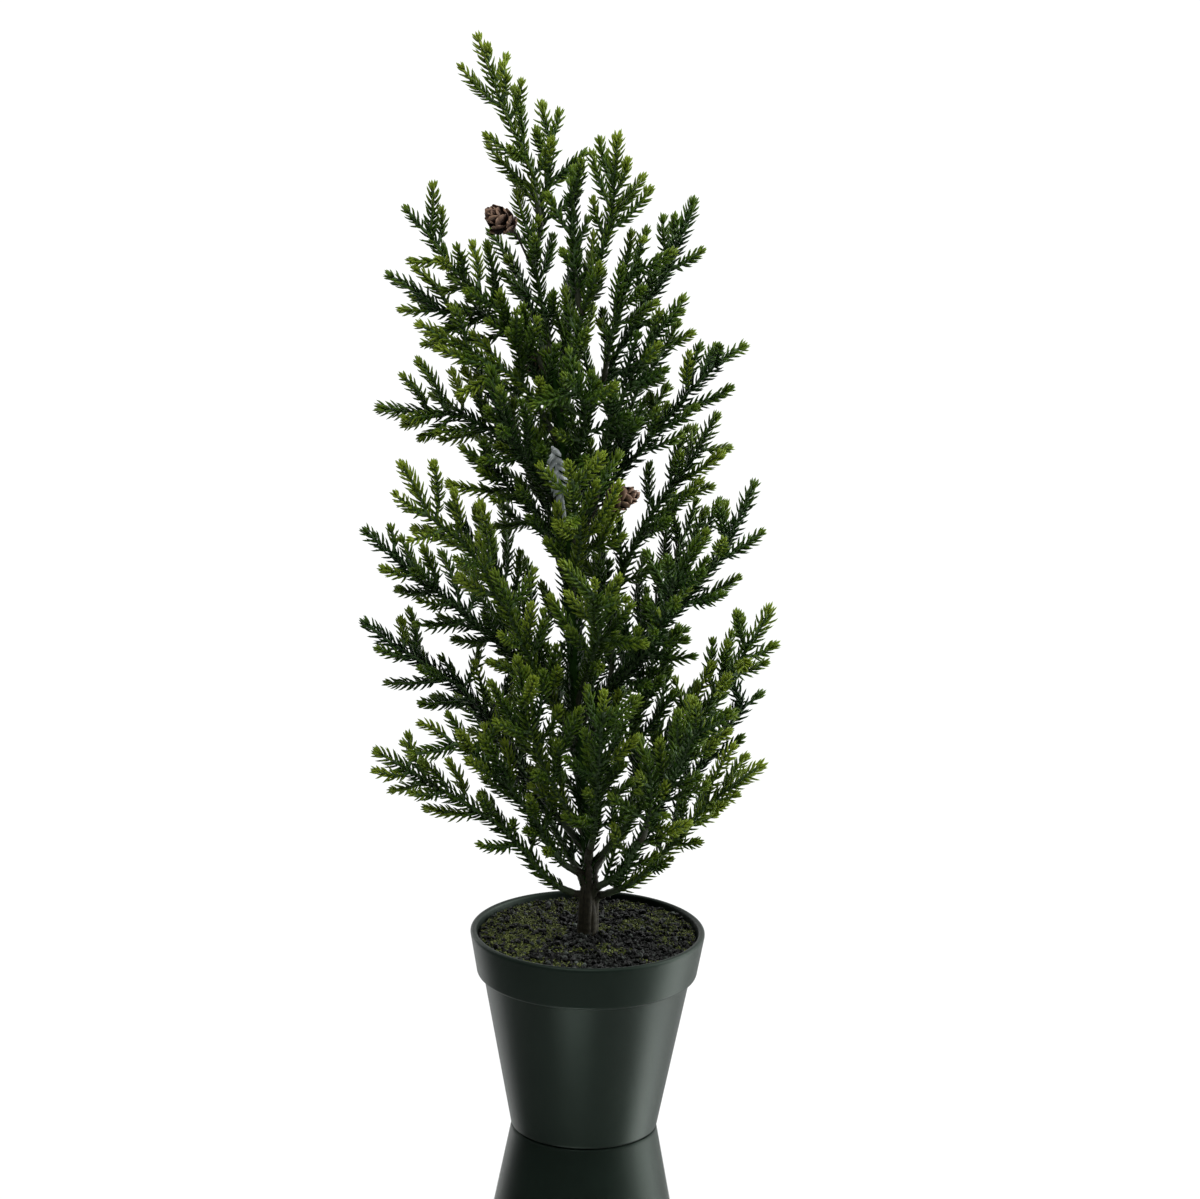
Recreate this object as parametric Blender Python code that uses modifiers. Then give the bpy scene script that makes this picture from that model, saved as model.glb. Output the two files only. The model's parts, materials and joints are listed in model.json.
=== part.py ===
"""Artificial tabletop tree: a potted, evergreen-style tree with bendable boughs.

Every bough is one or more moulded sprays on a wire core, taped to a steel trunk rod
that stands in a weighted plastic pot. Metres, +Z up, origin at the centre of the
pot's underside, front of the tree towards -Y.
"""
import math
from collections import namedtuple

import bpy
import bmesh
import numpy as np
from mathutils import Matrix, Vector

MM = 0.001

# Driving dimensions, in metres -------------------------------------------------
POT_HEIGHT = 0.1126
POT_RIM_RADIUS = 0.0635
POT_LIP = 0.0036           # thickness of the rounded lip
POT_WALL = 0.0022          # thickness of the wall below the collar
POT_FLOOR = 0.0030
COLLAR_HEIGHT = 0.0250     # the deep band below the rim
COLLAR_FOOT_RADIUS = 0.0598
LEDGE_STEP = 0.0036        # how far the body stands in under the collar
POT_BASE_RADIUS = 0.0400
COLLAR_ROUND = 0.0022         # round at the foot of the collar
BASE_ROUND = 0.0020           # round at the edge of the base
FLOOR_ROUND = 0.0010          # chamfer inside, round the floor
POT_STEPS = 40
SOIL_STEPS = 32
FILLING_STEPS = 24
TAPE_STEPS = 20
CONE_STEPS = 12
MERGE = 0.00001
SOIL_BELOW_RIM = 0.0041    # how far the soil lies below the rim
SOIL_THICKNESS = 0.0070
SOIL_MOUND = 0.0015        # how much the soil rises towards the trunk
FOAM_THICKNESS = 0.0280
GAP = 0.0003               # clearance between pieces that touch

ROD_RADIUS = 0.0022        # steel trunk rod with its paper wrap
ROD_END_ABOVE_FLOOR = 0.0060
TAPE_RADIUS = 0.0058       # the taped bundle at the foot of the trunk
TAPE_HEIGHT = 0.0150

CROWN_SPREAD = 0.2200      # widest, side to side
CROWN_HEIGHT = 0.4920      # from the soil to the tip of the leader
TWIG_RADIUS = 0.0013       # core of a side twig
STEM_RADIUS = TWIG_RADIUS * 1.23   # core of a spray's main stem, thick enough to hold a twig's root
BOUGH_RADIUS = TWIG_RADIUS * 1.54  # core of the thick low boughs
SPIKE_RADIUS = 0.0006      # wire that carries a cone

CONE_LENGTH = 0.0190
CONE_RADIUS = 0.0075
WIRE_STRAIGHT = 0.006         # last stretch of a cone's wire, in line with the cone

# The crown was laid out for this spread and height; its points scale with the two above.
LAID_OUT_SPREAD = 0.2200
LAID_OUT_HEIGHT = 0.4920

# Crown layout ------------------------------------------------------------------
# Points are millimetres from the middle of the soil's surface: right, back, up.
# A spray leaves its parent (the trunk or another spray) at a share of the parent's
# length, and runs through its points to its tip. A twig is (share of the spray's
# length where it forks off, its tip).
Spray = namedtuple("Spray", "bough parent share points twigs")

TRUNK_POINTS = [(0, 0, 18), (-1, 0, 48), (-7, 0, 110), (-13, 0, 190), (-16, 0, 235),
                (-20, 0, 285), (-26, 0, 325)]

CROWN = {
    # the leader, which carries on from the end of the trunk
    "leader_stem": Spray("leader", "trunk", 1.0,
                         [(-28, 0, 342), (-34, -1, 365), (-36, -2, 384), (-33, -2, 398)],
                         [(0.80, (-45, 5, 409))]),
    "leader_tip": Spray("leader", "leader_stem", 1.0,
                        [(-37, -2, 421), (-47, -3, 442), (-56, -4, 464), (-61, -5, 478), (-66, -6, 492)],
                        [(0.57, (-75, 0, 475)), (0.58, (-53, -12, 480)), (0.31, (-48, 5, 465)),
                         (0.27, (-62, -11, 442)), (0.10, (-61, 5, 434))]),
    "leader_side": Spray("leader", "leader_stem", 0.60, [(-31, 7, 402), (-28, 8, 425), (-23, 10, 451)],
                         [(0.40, (-20, 14, 416))]),

    # upper boughs
    "top_mid": Spray("top_mid_bough", "trunk", 0.87,
                     [(-15, -6, 317), (-9, -9, 350), (3, -13, 390), (5, -18, 413), (7, -25, 446)],
                     [(0.71, (-6, -9, 433)), (0.74, (13, -24, 434)), (0.69, (21, -10, 421)),
                      (0.63, (25, -19, 417)), (0.61, (-5, -21, 412))]),
    "top_inner": Spray("top_mid_bough", "top_mid", 0.30,
                       [(-13, -12, 371), (-15, -14, 396), (-17, -16, 419)],
                       [(0.40, (-7, -6, 399)), (0.20, (-20, -19, 383))]),
    "right_top": Spray("right_top_bough", "trunk", 0.77,
                       [(-1, 3, 301), (14, 4, 331), (26, 5, 352), (38, 7, 376), (48, 10, 406)],
                       [(0.75, (32, 14, 396)), (0.82, (38, -1, 400)), (0.73, (54, 0, 382)),
                         (0.57, (31, -5, 379))]),
    "right_top_inner": Spray("right_top_bough", "right_top", 0.30,
                             [(6, -6, 334), (14, -9, 366), (24, -12, 395)],
                             [(0.46, (16, 3, 390)), (0.32, (11, -15, 376))]),
    "right_upper": Spray("right_upper_bough", "trunk", 0.65,
                         [(1, 0, 245), (18, -1, 266), (41, -3, 297), (62, -5, 321), (77, -6, 332)],
                         [(0.68, (54, 4, 331)), (0.62, (70, -11, 310)), (0.51, (53, -13, 301)),
                          (0.46, (37, 6, 296)), (0.30, (26, 10, 299)), (0.24, (23, -11, 297))]),
    "right_upper_inner": Spray("right_upper_bough", "right_upper", 0.15,
                               [(3, -9, 273), (14, -13, 308), (24, -16, 330), (44, -24, 361)],
                               [(0.60, (31, -26, 336)), (0.49, (34, -4, 313)), (0.44, (21, -21, 342))]),
    "left_top": Spray("left_top_bough", "trunk", 0.94,
                      [(-41, -1, 335), (-53, -2, 346), (-70, -3, 361), (-86, -4, 380), (-102, -6, 401)],
                      [(0.74, (-84, 4, 400)), (0.68, (-100, -12, 374)), (0.46, (-68, 8, 382)),
                       (0.36, (-60, -6, 384)), (0.51, (-84, -4, 357))]),
    "left_top_back": Spray("left_top_back_bough", "trunk", 0.89,
                           [(-40, 7, 323), (-59, 9, 341), (-78, 9, 342), (-107, 10, 343)],
                           [(0.76, (-114, 16, 361)), (0.70, (-98, 15, 365)), (0.40, (-70, 18, 348)),
                            (0.52, (-91, -1, 333))]),
    "left_top_front": Spray("left_top_front_bough", "trunk", 0.83,
                            [(-39, -11, 308), (-57, -16, 322), (-74, -21, 332), (-94, -26, 344)],
                            [(0.50, (-84, -32, 333)), (0.30, (-48, -22, 341)), (0.42, (-67, -9, 336))]),
    "left_upper": Spray("left_upper_bough", "trunk", 0.68,
                        [(-35, 1, 265), (-49, 2, 276), (-70, 3, 288), (-102, 5, 289), (-118, 6, 291)],
                        [(0.67, (-96, 11, 316)), (0.75, (-104, -4, 312)), (0.60, (-79, 13, 312)),
                         (0.49, (-71, -6, 316)), (0.72, (-104, 14, 279)), (0.64, (-94, -5, 277)),
                         (0.49, (-84, 10, 273))]),
    "left_upper_low": Spray("left_upper_low_bough", "trunk", 0.57,
                            [(-25, -2, 228), (-35, -5, 241), (-51, -9, 259), (-71, -16, 276)],
                            [(0.62, (-62, -21, 265)), (0.46, (-56, 3, 249)), (0.55, (-79, -16, 256)),
                             (0.31, (-56, 6, 227))]),

    # middle boughs
    "right_mid": Spray("right_mid_bough", "trunk", 0.33,
                       [(4, 2, 134), (25, 3, 162), (46, 3, 186), (68, 5, 217), (84, 6, 255)],
                       [(0.74, (69, 13, 242)), (0.69, (89, -3, 231)), (0.49, (58, 14, 237)),
                        (0.40, (59, -7, 232)), (0.50, (78, 12, 201))]),
    "right_mid_inner": Spray("right_mid_bough", "right_mid", 0.15,
                             [(11, 8, 190), (29, 11, 234), (44, 15, 253), (63, 22, 287)],
                             [(0.71, (67, 5, 271)), (0.67, (49, 22, 281)), (0.53, (55, 3, 256))]),
    "left_high": Spray("left_high_bough", "trunk", 0.31,
                       [(-25, 0, 139), (-49, -1, 164), (-74, -3, 186), (-107, -6, 213), (-122, -8, 228)],
                       [(0.76, (-104, 3, 222)), (0.73, (-113, -12, 208)), (0.65, (-107, 5, 192)),
                        (0.65, (-92, -13, 222)), (0.55, (-83, 8, 214)), (0.50, (-96, -10, 177)),
                        (0.39, (-76, 7, 164))]),
    "left_front": Spray("left_front_bough", "trunk", 0.29,
                        [(-28, -20, 151), (-49, -29, 197), (-70, -37, 232),
                         (-98, -54, 254), (-104, -62, 264)],
                        [(0.84, (-103, -38, 274)), (0.81, (-85, -51, 277)), (0.72, (-95, -43, 239)),
                         (0.57, (-61, -41, 255)), (0.50, (-73, -36, 213)), (0.39, (-57, -36, 221))]),
    "left_mid": Spray("left_mid_bough", "trunk", 0.10,
                      [(-20, 5, 69), (-44, 4, 102), (-69, 3, 137), (-107, 1, 162), (-123, 0, 176)],
                      [(0.83, (-104, 9, 176)), (0.77, (-117, -6, 163)), (0.67, (-112, 10, 138)),
                       (0.57, (-92, -3, 131)), (0.49, (-64, -7, 157)), (0.60, (-82, 11, 154))]),

    # low boughs, which fan out from the taped foot
    "right_lower": Spray("right_lower_bough", "trunk", 0.06,
                         [(21, -2, 66), (40, -3, 98), (58, -5, 128), (81, -9, 165), (94, -12, 191)],
                         [(0.83, (78, 0, 183)), (0.79, (97, -15, 172)), (0.73, (93, 1, 157)),
                          (0.70, (71, -16, 172)), (0.64, (64, 4, 169)), (0.49, (64, -14, 161))]),
    "right_low": Spray("right_low_bough", "trunk", 0.01,
                       [(21, -3, 30), (39, -6, 48), (63, -11, 80), (91, -20, 106)],
                       [(0.68, (80, -20, 90)), (0.74, (84, -5, 107)), (0.62, (77, -21, 118)),
                        (0.55, (69, -2, 72)), (0.62, (74, -5, 80))]),
    "right_low_upper": Spray("right_low_bough", "right_low", 0.42,
                             [(50, 6, 80), (72, 11, 115), (92, 16, 136)],
                             [(0.57, (80, 18, 130)), (0.47, (66, 1, 128)), (0.45, (82, 1, 116))]),
    "front_right": Spray("front_right_bough", "trunk", 0.025,
                         [(15, -17, 40), (24, -27, 58), (38, -38, 91), (53, -59, 133), (53, -70, 157)],
                         [(0.57, (36, -49, 129)), (0.67, (64, -40, 138)), (0.72, (45, -62, 148)),
                          (0.45, (43, -49, 110))]),
    "front_right_upper": Spray("front_right_bough", "front_right", 0.33,
                               [(30, -38, 75), (33, -46, 97), (29, -54, 120)],
                               [(0.45, (24, -46, 99)), (0.25, (42, -48, 86))]),
    "front_low": Spray("front_low_bough", "trunk", 0.08,
                       [(2, -14, 62), (3, -24, 76), (3, -35, 96), (5, -53, 128), (6, -62, 158)],
                       [(0.69, (13, -53, 146)), (0.62, (-4, -51, 133)), (0.30, (23, -18, 96)),
                        (0.35, (-2, -46, 99)), (0.55, (20, -35, 139)), (0.20, (-15, -24, 76))]),
    "left_low": Spray("left_low_bough", "trunk", 0.01,
                      [(-17, -4, 30), (-29, -7, 42), (-46, -11, 64), (-80, -18, 88), (-115, -25, 111)],
                      [(0.83, (-98, -15, 118)), (0.80, (-116, -30, 102)), (0.76, (-108, -11, 84)),
                       (0.64, (-91, -28, 107)), (0.58, (-76, -4, 100)), (0.51, (-90, -19, 78)),
                       (0.37, (-41, -20, 72))]),
    "left_inner": Spray("left_inner_bough", "trunk", 0.05,
                        [(-15, -8, 45), (-24, -12, 60), (-37, -16, 82), (-69, -23, 114), (-92, -30, 130)],
                        [(0.57, (-66, -38, 112)), (0.24, (-34, -24, 68)), (0.71, (-78, -11, 129)),
                         (0.48, (-59, -34, 124))]),

    # inner sprays that fill the crown towards the front
    "front_upper": Spray("trunk_sprays", "trunk", 0.54,
                         [(-8, -23, 235), (-11, -32, 246), (-12, -40, 258), (-15, -58, 280)],
                         [(0.50, (0, -33, 264)), (0.33, (12, -35, 264))]),
    "front_top": Spray("trunk_sprays", "trunk", 0.75,
                       [(-6, -23, 289), (-10, -32, 309), (-18, -50, 324)],
                       [(0.59, (-4, -33, 322)), (0.34, (-23, -36, 291))]),
    "front_top_left": Spray("trunk_sprays", "trunk", 0.72,
                            [(-36, -18, 270), (-46, -29, 286), (-51, -44, 315)],
                            [(0.50, (-59, -35, 303)), (0.40, (-40, -36, 307))]),
    "front_mid": Spray("trunk_sprays", "trunk", 0.37, [(3, -33, 178), (1, -47, 194), (0, -74, 222)],
                       [(0.50, (10, -39, 205)), (0.41, (21, -36, 200)), (0.32, (-14, -35, 184)),
                        (0.64, (-7, -52, 210))]),
    "front_mid_right": Spray("trunk_sprays", "trunk", 0.35,
                             [(25, -26, 165), (40, -37, 199), (37, -60, 232)],
                             [(0.66, (51, -44, 217)), (0.57, (29, -40, 200)), (0.47, (51, -36, 180))]),
    "inner_left": Spray("trunk_sprays", "trunk", 0.13,
                        [(-22, -22, 95), (-33, -36, 130), (-40, -44, 170)],
                        [(0.60, (-26, -46, 165)), (0.52, (-54, -38, 155)), (0.30, (-18, -40, 124))]),
    "inner_right": Spray("trunk_sprays", "trunk", 0.15,
                         [(18, -12, 110), (30, -16, 150), (34, -18, 190)],
                         [(0.60, (22, -20, 182)), (0.55, (45, -12, 180)), (0.32, (14, -24, 146)),
                          (0.34, (44, -24, 148))]),

    # back boughs
    "back_low_left": Spray("back_left_bough", "trunk", 0.035,
                           [(-14, 16, 45), (-38, 40, 85), (-60, 62, 120)],
                           [(0.40, (-30, 52, 100)), (0.38, (-62, 42, 95)), (0.62, (-46, 66, 122)),
                            (0.60, (-74, 50, 122))]),
    "back_low_right": Spray("back_right_bough", "trunk", 0.05,
                            [(14, 16, 50), (34, 40, 88), (58, 60, 128)],
                            [(0.40, (26, 54, 108)), (0.38, (58, 36, 98)), (0.62, (42, 66, 132)),
                             (0.60, (74, 48, 130))]),
    "back_low": Spray("back_bough", "trunk", 0.07, [(2, 20, 70), (0, 50, 110), (0, 78, 150)],
                      [(0.45, (-16, 60, 125)), (0.50, (16, 62, 130)), (0.70, (-12, 80, 154)),
                       (0.72, (12, 78, 160))]),
    "back_mid_left": Spray("back_mid_left_bough", "trunk", 0.25,
                           [(-25, 20, 140), (-52, 44, 190), (-66, 58, 225)],
                           [(0.45, (-38, 52, 198)), (0.42, (-72, 36, 192)), (0.66, (-52, 64, 228)),
                            (0.64, (-80, 46, 230))]),
    "back_mid_right": Spray("back_mid_right_bough", "trunk", 0.27,
                            [(16, 18, 145), (40, 40, 190), (54, 52, 232)],
                            [(0.45, (26, 50, 200)), (0.42, (58, 32, 195)), (0.66, (42, 60, 235)),
                             (0.64, (68, 42, 236))]),
    "back_mid": Spray("back_mid_bough", "trunk", 0.38, [(-8, 26, 180), (-6, 52, 225), (-4, 66, 262)],
                      [(0.45, (-22, 54, 235)), (0.48, (12, 56, 238)), (0.68, (-16, 66, 266)),
                       (0.70, (8, 64, 268))]),
    "back_upper_left": Spray("trunk_sprays", "trunk", 0.58,
                             [(-28, 18, 240), (-50, 36, 280), (-60, 46, 310)],
                             [(0.45, (-38, 44, 290)), (0.44, (-68, 32, 300)), (0.70, (-72, 44, 318))]),
    "back_upper_right": Spray("trunk_sprays", "trunk", 0.61,
                              [(4, 18, 255), (22, 36, 300), (30, 44, 335)],
                              [(0.45, (10, 42, 305)), (0.44, (38, 30, 302)), (0.70, (42, 38, 334))]),
    "back_upper": Spray("trunk_sprays", "trunk", 0.71, [(-20, 22, 290), (-18, 40, 330), (-16, 46, 356)],
                        [(0.45, (-32, 42, 335)), (0.48, (-4, 42, 340))]),
    "back_top_left": Spray("trunk_sprays", "trunk", 0.90,
                           [(-36, 15, 344), (-47, 22, 366), (-59, 30, 382)],
                           [(0.45, (-50, 32, 358)), (0.62, (-50, 10, 374))]),
    "back_top": Spray("trunk_sprays", "trunk", 0.85, [(-16, 16, 333), (-15, 22, 353), (-14, 35, 376)],
                      [(0.55, (-5, 33, 372))]),
}

# the low boughs have the thicker wire
THICK_BOUGHS = {"left_low", "left_inner", "left_mid", "right_lower", "right_low", "front_right",
                "front_low", "back_low_left", "back_low_right", "back_low"}

# cones: (parent, share, where the wire reaches the cone, cone's direction)
Cone = namedtuple("Cone", "bough parent share foot direction")
CONES = {
    "upper": Cone("leader", "leader_stem", 0.55, (-48, -9, 392), (-0.6, -0.5, 0.6)),
    "middle": Cone("trunk_sprays", "trunk", 0.87, (-29, 14, 306), (-0.4, 0.5, 0.7)),
    "lower": Cone("trunk_sprays", "trunk", 0.62, (6, -14, 247), (0.75, -0.3, 0.35)),
}

# how far each bough bends about the root of its wire, in degrees: inward and outward
BENDS = {
    "leader": (-6, 6), "top_mid_bough": (-4, 8), "right_top_bough": (-4, 8), "right_upper_bough": (-5, 8),
    "left_top_bough": (-5, 8), "left_top_back_bough": (-5, 8), "left_top_front_bough": (-5, 8),
    "left_upper_bough": (-5, 8), "left_upper_low_bough": (-5, 8), "right_mid_bough": (-5, 8),
    "left_high_bough": (-5, 8), "left_front_bough": (-5, 8), "left_mid_bough": (-5, 8),
    "right_lower_bough": (-5, 8), "right_low_bough": (-5, 8), "front_right_bough": (-5, 8),
    "front_low_bough": (-5, 8), "left_low_bough": (-5, 8), "left_inner_bough": (-5, 6),
    "back_left_bough": (-5, 8), "back_right_bough": (-5, 8), "back_bough": (-5, 8),
    "back_mid_left_bough": (-5, 8), "back_mid_right_bough": (-5, 8), "back_mid_bough": (-5, 8),
}
BEND_STEPS = 12

# the small twigs that stand between the listed ones, wherever there is room for them
FILL_PITCH = 0.0104           # between two of them along a stem, on a crown of the laid out height
FILL_MOST = 300               # small twigs on the whole tree
FILL_START = 0.18             # share of the stem where they begin
FILL_END = 0.86
FILL_TURN = math.radians(137.5)
FILL_LENGTHS = (0.029, 0.024, 0.019, 0.015)
FILL_LEANS = (0.66, 0.85, 0.45)  # how far sideways the twig reaches, as a share of its length
FILL_APART = 0.0046           # from the other twigs at rest
FILL_CLEAR = 0.0004           # from anything while a bough bends
FILL_TRIES = [math.radians(a) for a in (0, 25, -25, 50, -50)]
FILL_ABOVE_SOIL = 0.030
FINE_PIECES = 6               # straight pieces of a twig while its room is measured
SHORT_TWIG = 0.026            # a twig under this length bends once, a longer one twice
EDGE_BAND = 0.018             # height over which listed tips mark the crown's outline
EDGE_INSET = 0.013            # how far inside that outline they stay, side to side
EDGE_MARGIN = 0.004           # and in depth and height
FILL_FORK = 0.34              # share of a twig near its fork, where it may stand close
PALE_TWIG = Spray("trunk_sprays", "trunk", 0.66, [(-18, -12, 248), (-21, -19, 266), (-24, -26, 282)], [])


def remove_everything():
    for thing in list(bpy.data.objects):
        bpy.data.objects.remove(thing, do_unlink=True)


def make_collection(name):
    collection = bpy.data.collections.new(name)
    bpy.context.scene.collection.children.link(collection)
    return collection


def material(name, colour, roughness, metallic=0.0):
    found = bpy.data.materials.get(name)
    if found:
        return found
    made = bpy.data.materials.new(name)
    made.use_nodes = True
    made.diffuse_color = (*colour, 1.0)
    shader = made.node_tree.nodes["Principled BSDF"]
    shader.inputs["Base Color"].default_value = (*colour, 1.0)
    shader.inputs["Roughness"].default_value = roughness
    shader.inputs["Metallic"].default_value = metallic
    return made


# Pot and what fills it -----------------------------------------------------------
def soil_top():
    return POT_HEIGHT - SOIL_BELOW_RIM


def body_outer_radius(height):
    """Outer radius of the tapered pot body, from the base up to the ledge."""
    ledge = POT_HEIGHT - COLLAR_HEIGHT
    top_radius = COLLAR_FOOT_RADIUS - LEDGE_STEP
    return POT_BASE_RADIUS + (top_radius - POT_BASE_RADIUS) * height / ledge


def inner_radius(height):
    """Inner radius of the pot: the wall below the ledge, the lip's thickness at the rim."""
    ledge = POT_HEIGHT - COLLAR_HEIGHT
    if height <= ledge:
        return body_outer_radius(height) - POT_WALL
    share = (height - ledge) / COLLAR_HEIGHT
    at_ledge = body_outer_radius(ledge) - POT_WALL
    return at_ledge + (POT_RIM_RADIUS - POT_LIP - at_ledge) * share


def arc(centre_r, centre_z, radius, start, stop, steps):
    """Points of a round in the (radius, height) plane, angles in degrees."""
    points = []
    for i in range(steps + 1):
        angle = math.radians(start + (stop - start) * i / steps)
        points.append((centre_r + radius * math.cos(angle), centre_z + radius * math.sin(angle)))
    return points


def turned(name, profile, steps, collection, finish):
    """A closed outline in the (radius, height) plane, turned about Z; no edge runs along the axis."""
    mesh = bpy.data.meshes.new(name)
    edges = [(i, (i + 1) % len(profile)) for i in range(len(profile))]
    edges = [(a, b) for a, b in edges if profile[a][0] > 0.0 or profile[b][0] > 0.0]
    mesh.from_pydata([(r, 0.0, z) for r, z in profile], edges, [])
    piece = bpy.data.objects.new(name, mesh)
    collection.objects.link(piece)
    screw = piece.modifiers.new("turn", "SCREW")
    screw.steps = steps
    screw.render_steps = steps
    screw.merge_threshold = MERGE
    screw.use_merge_vertices = True
    screw.use_smooth_shade = True
    mesh.materials.append(finish)
    return piece


def disc_outline(z_low, z_high, clearance, bore, rise=0.0):
    """A filling layer: wide enough to sit in the pot at both its faces, with a bore for the rod.

    The outline runs down the outer side and back up inside the bore.
    """
    ledge = POT_HEIGHT - COLLAR_HEIGHT
    heights = [z_high] + ([ledge] if z_low < ledge < z_high else []) + [z_low]
    side = [(inner_radius(z) - clearance, z) for z in heights]
    return [(bore, z_high + rise)] + side + [(bore, z_low)]


def build_pot(collection):
    ledge = POT_HEIGHT - COLLAR_HEIGHT
    lip = POT_LIP / 2
    profile = arc(POT_RIM_RADIUS - lip, POT_HEIGHT - lip, lip, 180, 0, 6)
    profile += arc(COLLAR_FOOT_RADIUS - COLLAR_ROUND, ledge + COLLAR_ROUND, COLLAR_ROUND, 0, -70, 3)
    profile += [(body_outer_radius(ledge), ledge)]
    profile += arc(POT_BASE_RADIUS - BASE_ROUND, BASE_ROUND, BASE_ROUND, 0, -90, 3)
    profile += [(0.0, 0.0), (0.0, POT_FLOOR)]
    profile += [(inner_radius(POT_FLOOR) - FLOOR_ROUND, POT_FLOOR)]
    profile += [(inner_radius(POT_FLOOR + FLOOR_ROUND), POT_FLOOR + FLOOR_ROUND)]
    profile += [(inner_radius(ledge), ledge)]
    turned("pot", profile, POT_STEPS, collection, material("pot_plastic", (0.045, 0.055, 0.050), 0.45))


def build_filling(collection):
    bore = ROD_RADIUS + GAP
    soil_low = soil_top() - SOIL_THICKNESS
    foam_high = soil_low - GAP
    foam_low = foam_high - FOAM_THICKNESS
    ballast_high = foam_low - GAP
    ballast_low = POT_FLOOR + GAP
    turned("soil_disc", disc_outline(soil_low, soil_top(), GAP, bore, SOIL_MOUND), SOIL_STEPS,
           collection,
           material("soil", (0.02, 0.02, 0.015), 0.95))
    turned("foam_disc", disc_outline(foam_low, foam_high, GAP * 2, bore), FILLING_STEPS, collection,
           material("foam", (0.25, 0.35, 0.22), 0.9))
    turned("ballast_block", disc_outline(ballast_low, ballast_high, GAP * 4, bore), FILLING_STEPS,
           collection, material("cement", (0.45, 0.44, 0.42), 0.9))


# Stems and twigs -----------------------------------------------------------------
def place(point):
    """A laid-out crown point in metres, in the tree's own frame."""
    across = CROWN_SPREAD / LAID_OUT_SPREAD * MM
    up = CROWN_HEIGHT / LAID_OUT_HEIGHT * MM
    return Vector((point[0] * across, point[1] * across, soil_top() + point[2] * up))


def smooth_route(points, per_span):
    """A Catmull-Rom curve through the points, with per_span pieces between each two."""
    ends = [points[0] * 2 - points[1]] + points + [points[-1] * 2 - points[-2]]
    route = []
    for i in range(1, len(ends) - 2):
        a, b, c, d = ends[i - 1:i + 3]
        for step in range(per_span):
            t = step / per_span
            route.append(0.5 * (2 * b + (c - a) * t + (2 * a - 5 * b + 4 * c - d) * t * t
                                + (3 * b - a - 3 * c + d) * t ** 3))
    route.append(points[-1])
    return route


def along(route, share):
    """The point at a share of the route's length, and the direction there."""
    lengths = [(b - a).length for a, b in zip(route, route[1:])]
    left = share * sum(lengths)
    for (a, b), length in zip(zip(route, route[1:]), lengths):
        if left <= length or b is route[-1]:
            return a + (b - a) * min(left / length, 1.0), (b - a).normalized()
        left -= length


def rooted(parent_route, parent_radius, share, points, radius):
    """The spray's points with a root that stands just clear of its parent."""
    fork, direction = along(parent_route, share)
    if share == 1.0:
        turn = direction.angle(points[0] - fork)
        return [fork + direction * (GAP * 2 + radius * math.sin(turn))] + points
    away = (points[0] - fork).normalized()
    cosine = abs(away.dot(direction))
    sine = max(math.sqrt(1.0 - cosine * cosine), 0.2)
    root = fork + away * ((parent_radius + radius * cosine + GAP * 2) / sine)
    return [root] + points


def twig_route(stem_route, share, tip, pieces=0):
    """A side twig: it forks forward off the stem and curves out to its tip."""
    fork, direction = along(stem_route, share)
    reach = tip - fork
    middle = fork + reach * 0.5 + (reach.normalized() - direction).normalized() * reach.length * 0.10
    pieces = pieces or (2 if reach.length < SHORT_TWIG else 3)
    route = []
    for i in range(pieces + 1):
        t = i / pieces
        route.append(fork * (1 - t) ** 2 + middle * 2 * t * (1 - t) + tip * t * t)
    return route


def tube(name, route, radius, sides_level, collection):
    """A POLY curve with a round section and filled ends, turned into a welded mesh."""
    curve = bpy.data.curves.new(name, "CURVE")
    curve.dimensions = "3D"
    curve.bevel_depth = radius
    curve.bevel_resolution = sides_level
    curve.use_fill_caps = True
    spline = curve.splines.new("POLY")
    spline.points.add(len(route) - 1)
    for point, place_at in zip(spline.points, route):
        point.co = (*place_at, 1.0)
    holder = bpy.data.objects.new(name, curve)
    collection.objects.link(holder)
    depsgraph = bpy.context.evaluated_depsgraph_get()
    mesh = bpy.data.meshes.new_from_object(holder.evaluated_get(depsgraph))
    bpy.data.objects.remove(holder, do_unlink=True)
    work = bmesh.new()
    work.from_mesh(mesh)
    bmesh.ops.remove_doubles(work, verts=work.verts, dist=MERGE)
    bmesh.ops.recalc_face_normals(work, faces=work.faces)
    work.to_mesh(mesh)
    work.free()
    mesh.name = name
    piece = bpy.data.objects.new(name, mesh)
    collection.objects.link(piece)
    return piece


def fuse(stem, twigs, cutters):
    """Joins the side twigs to their stem as one moulded body."""
    group = bpy.data.collections.new(stem.name + "_twigs")
    cutters.children.link(group)
    for twig in twigs:
        for holder in list(twig.users_collection):
            holder.objects.unlink(twig)
        group.objects.link(twig)
        twig.hide_render = True
        twig.display_type = "WIRE"
    for twig in twigs:
        join = stem.modifiers.new(twig.name, "BOOLEAN")
        join.operation = "UNION"
        join.solver = "EXACT"
        join.object = twig


def pieces_of(route, radius, mark=-1):
    """A route as rows of straight pieces: start, end, radius and the number of its stem."""
    return np.array([(*a, *b, radius, mark) for a, b in zip(route, route[1:])])


def smallest_gap(first, second):
    """The least distance between the skins of two sets of straight round pieces."""
    p, q = first[:, None, 0:3], second[None, :, 0:3]
    along_p, along_q = first[:, None, 3:6] - p, second[None, :, 3:6] - q
    between = p - q
    pp, qq, pq = (along_p ** 2).sum(-1), (along_q ** 2).sum(-1), (along_p * along_q).sum(-1)
    p_off, q_off = (along_p * between).sum(-1), (along_q * between).sum(-1)
    spread = np.maximum(pp * qq - pq * pq, 1e-18)
    s = np.clip((pq * q_off - p_off * qq) / spread, 0.0, 1.0)
    t = np.clip((pq * s + q_off) / qq, 0.0, 1.0)
    s = np.clip((pq * t - p_off) / pp, 0.0, 1.0)
    nearest = between + along_p * s[..., None] - along_q * t[..., None]
    return (np.linalg.norm(nearest, axis=-1) - first[:, None, 6] - second[None, :, 6]).min()


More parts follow.
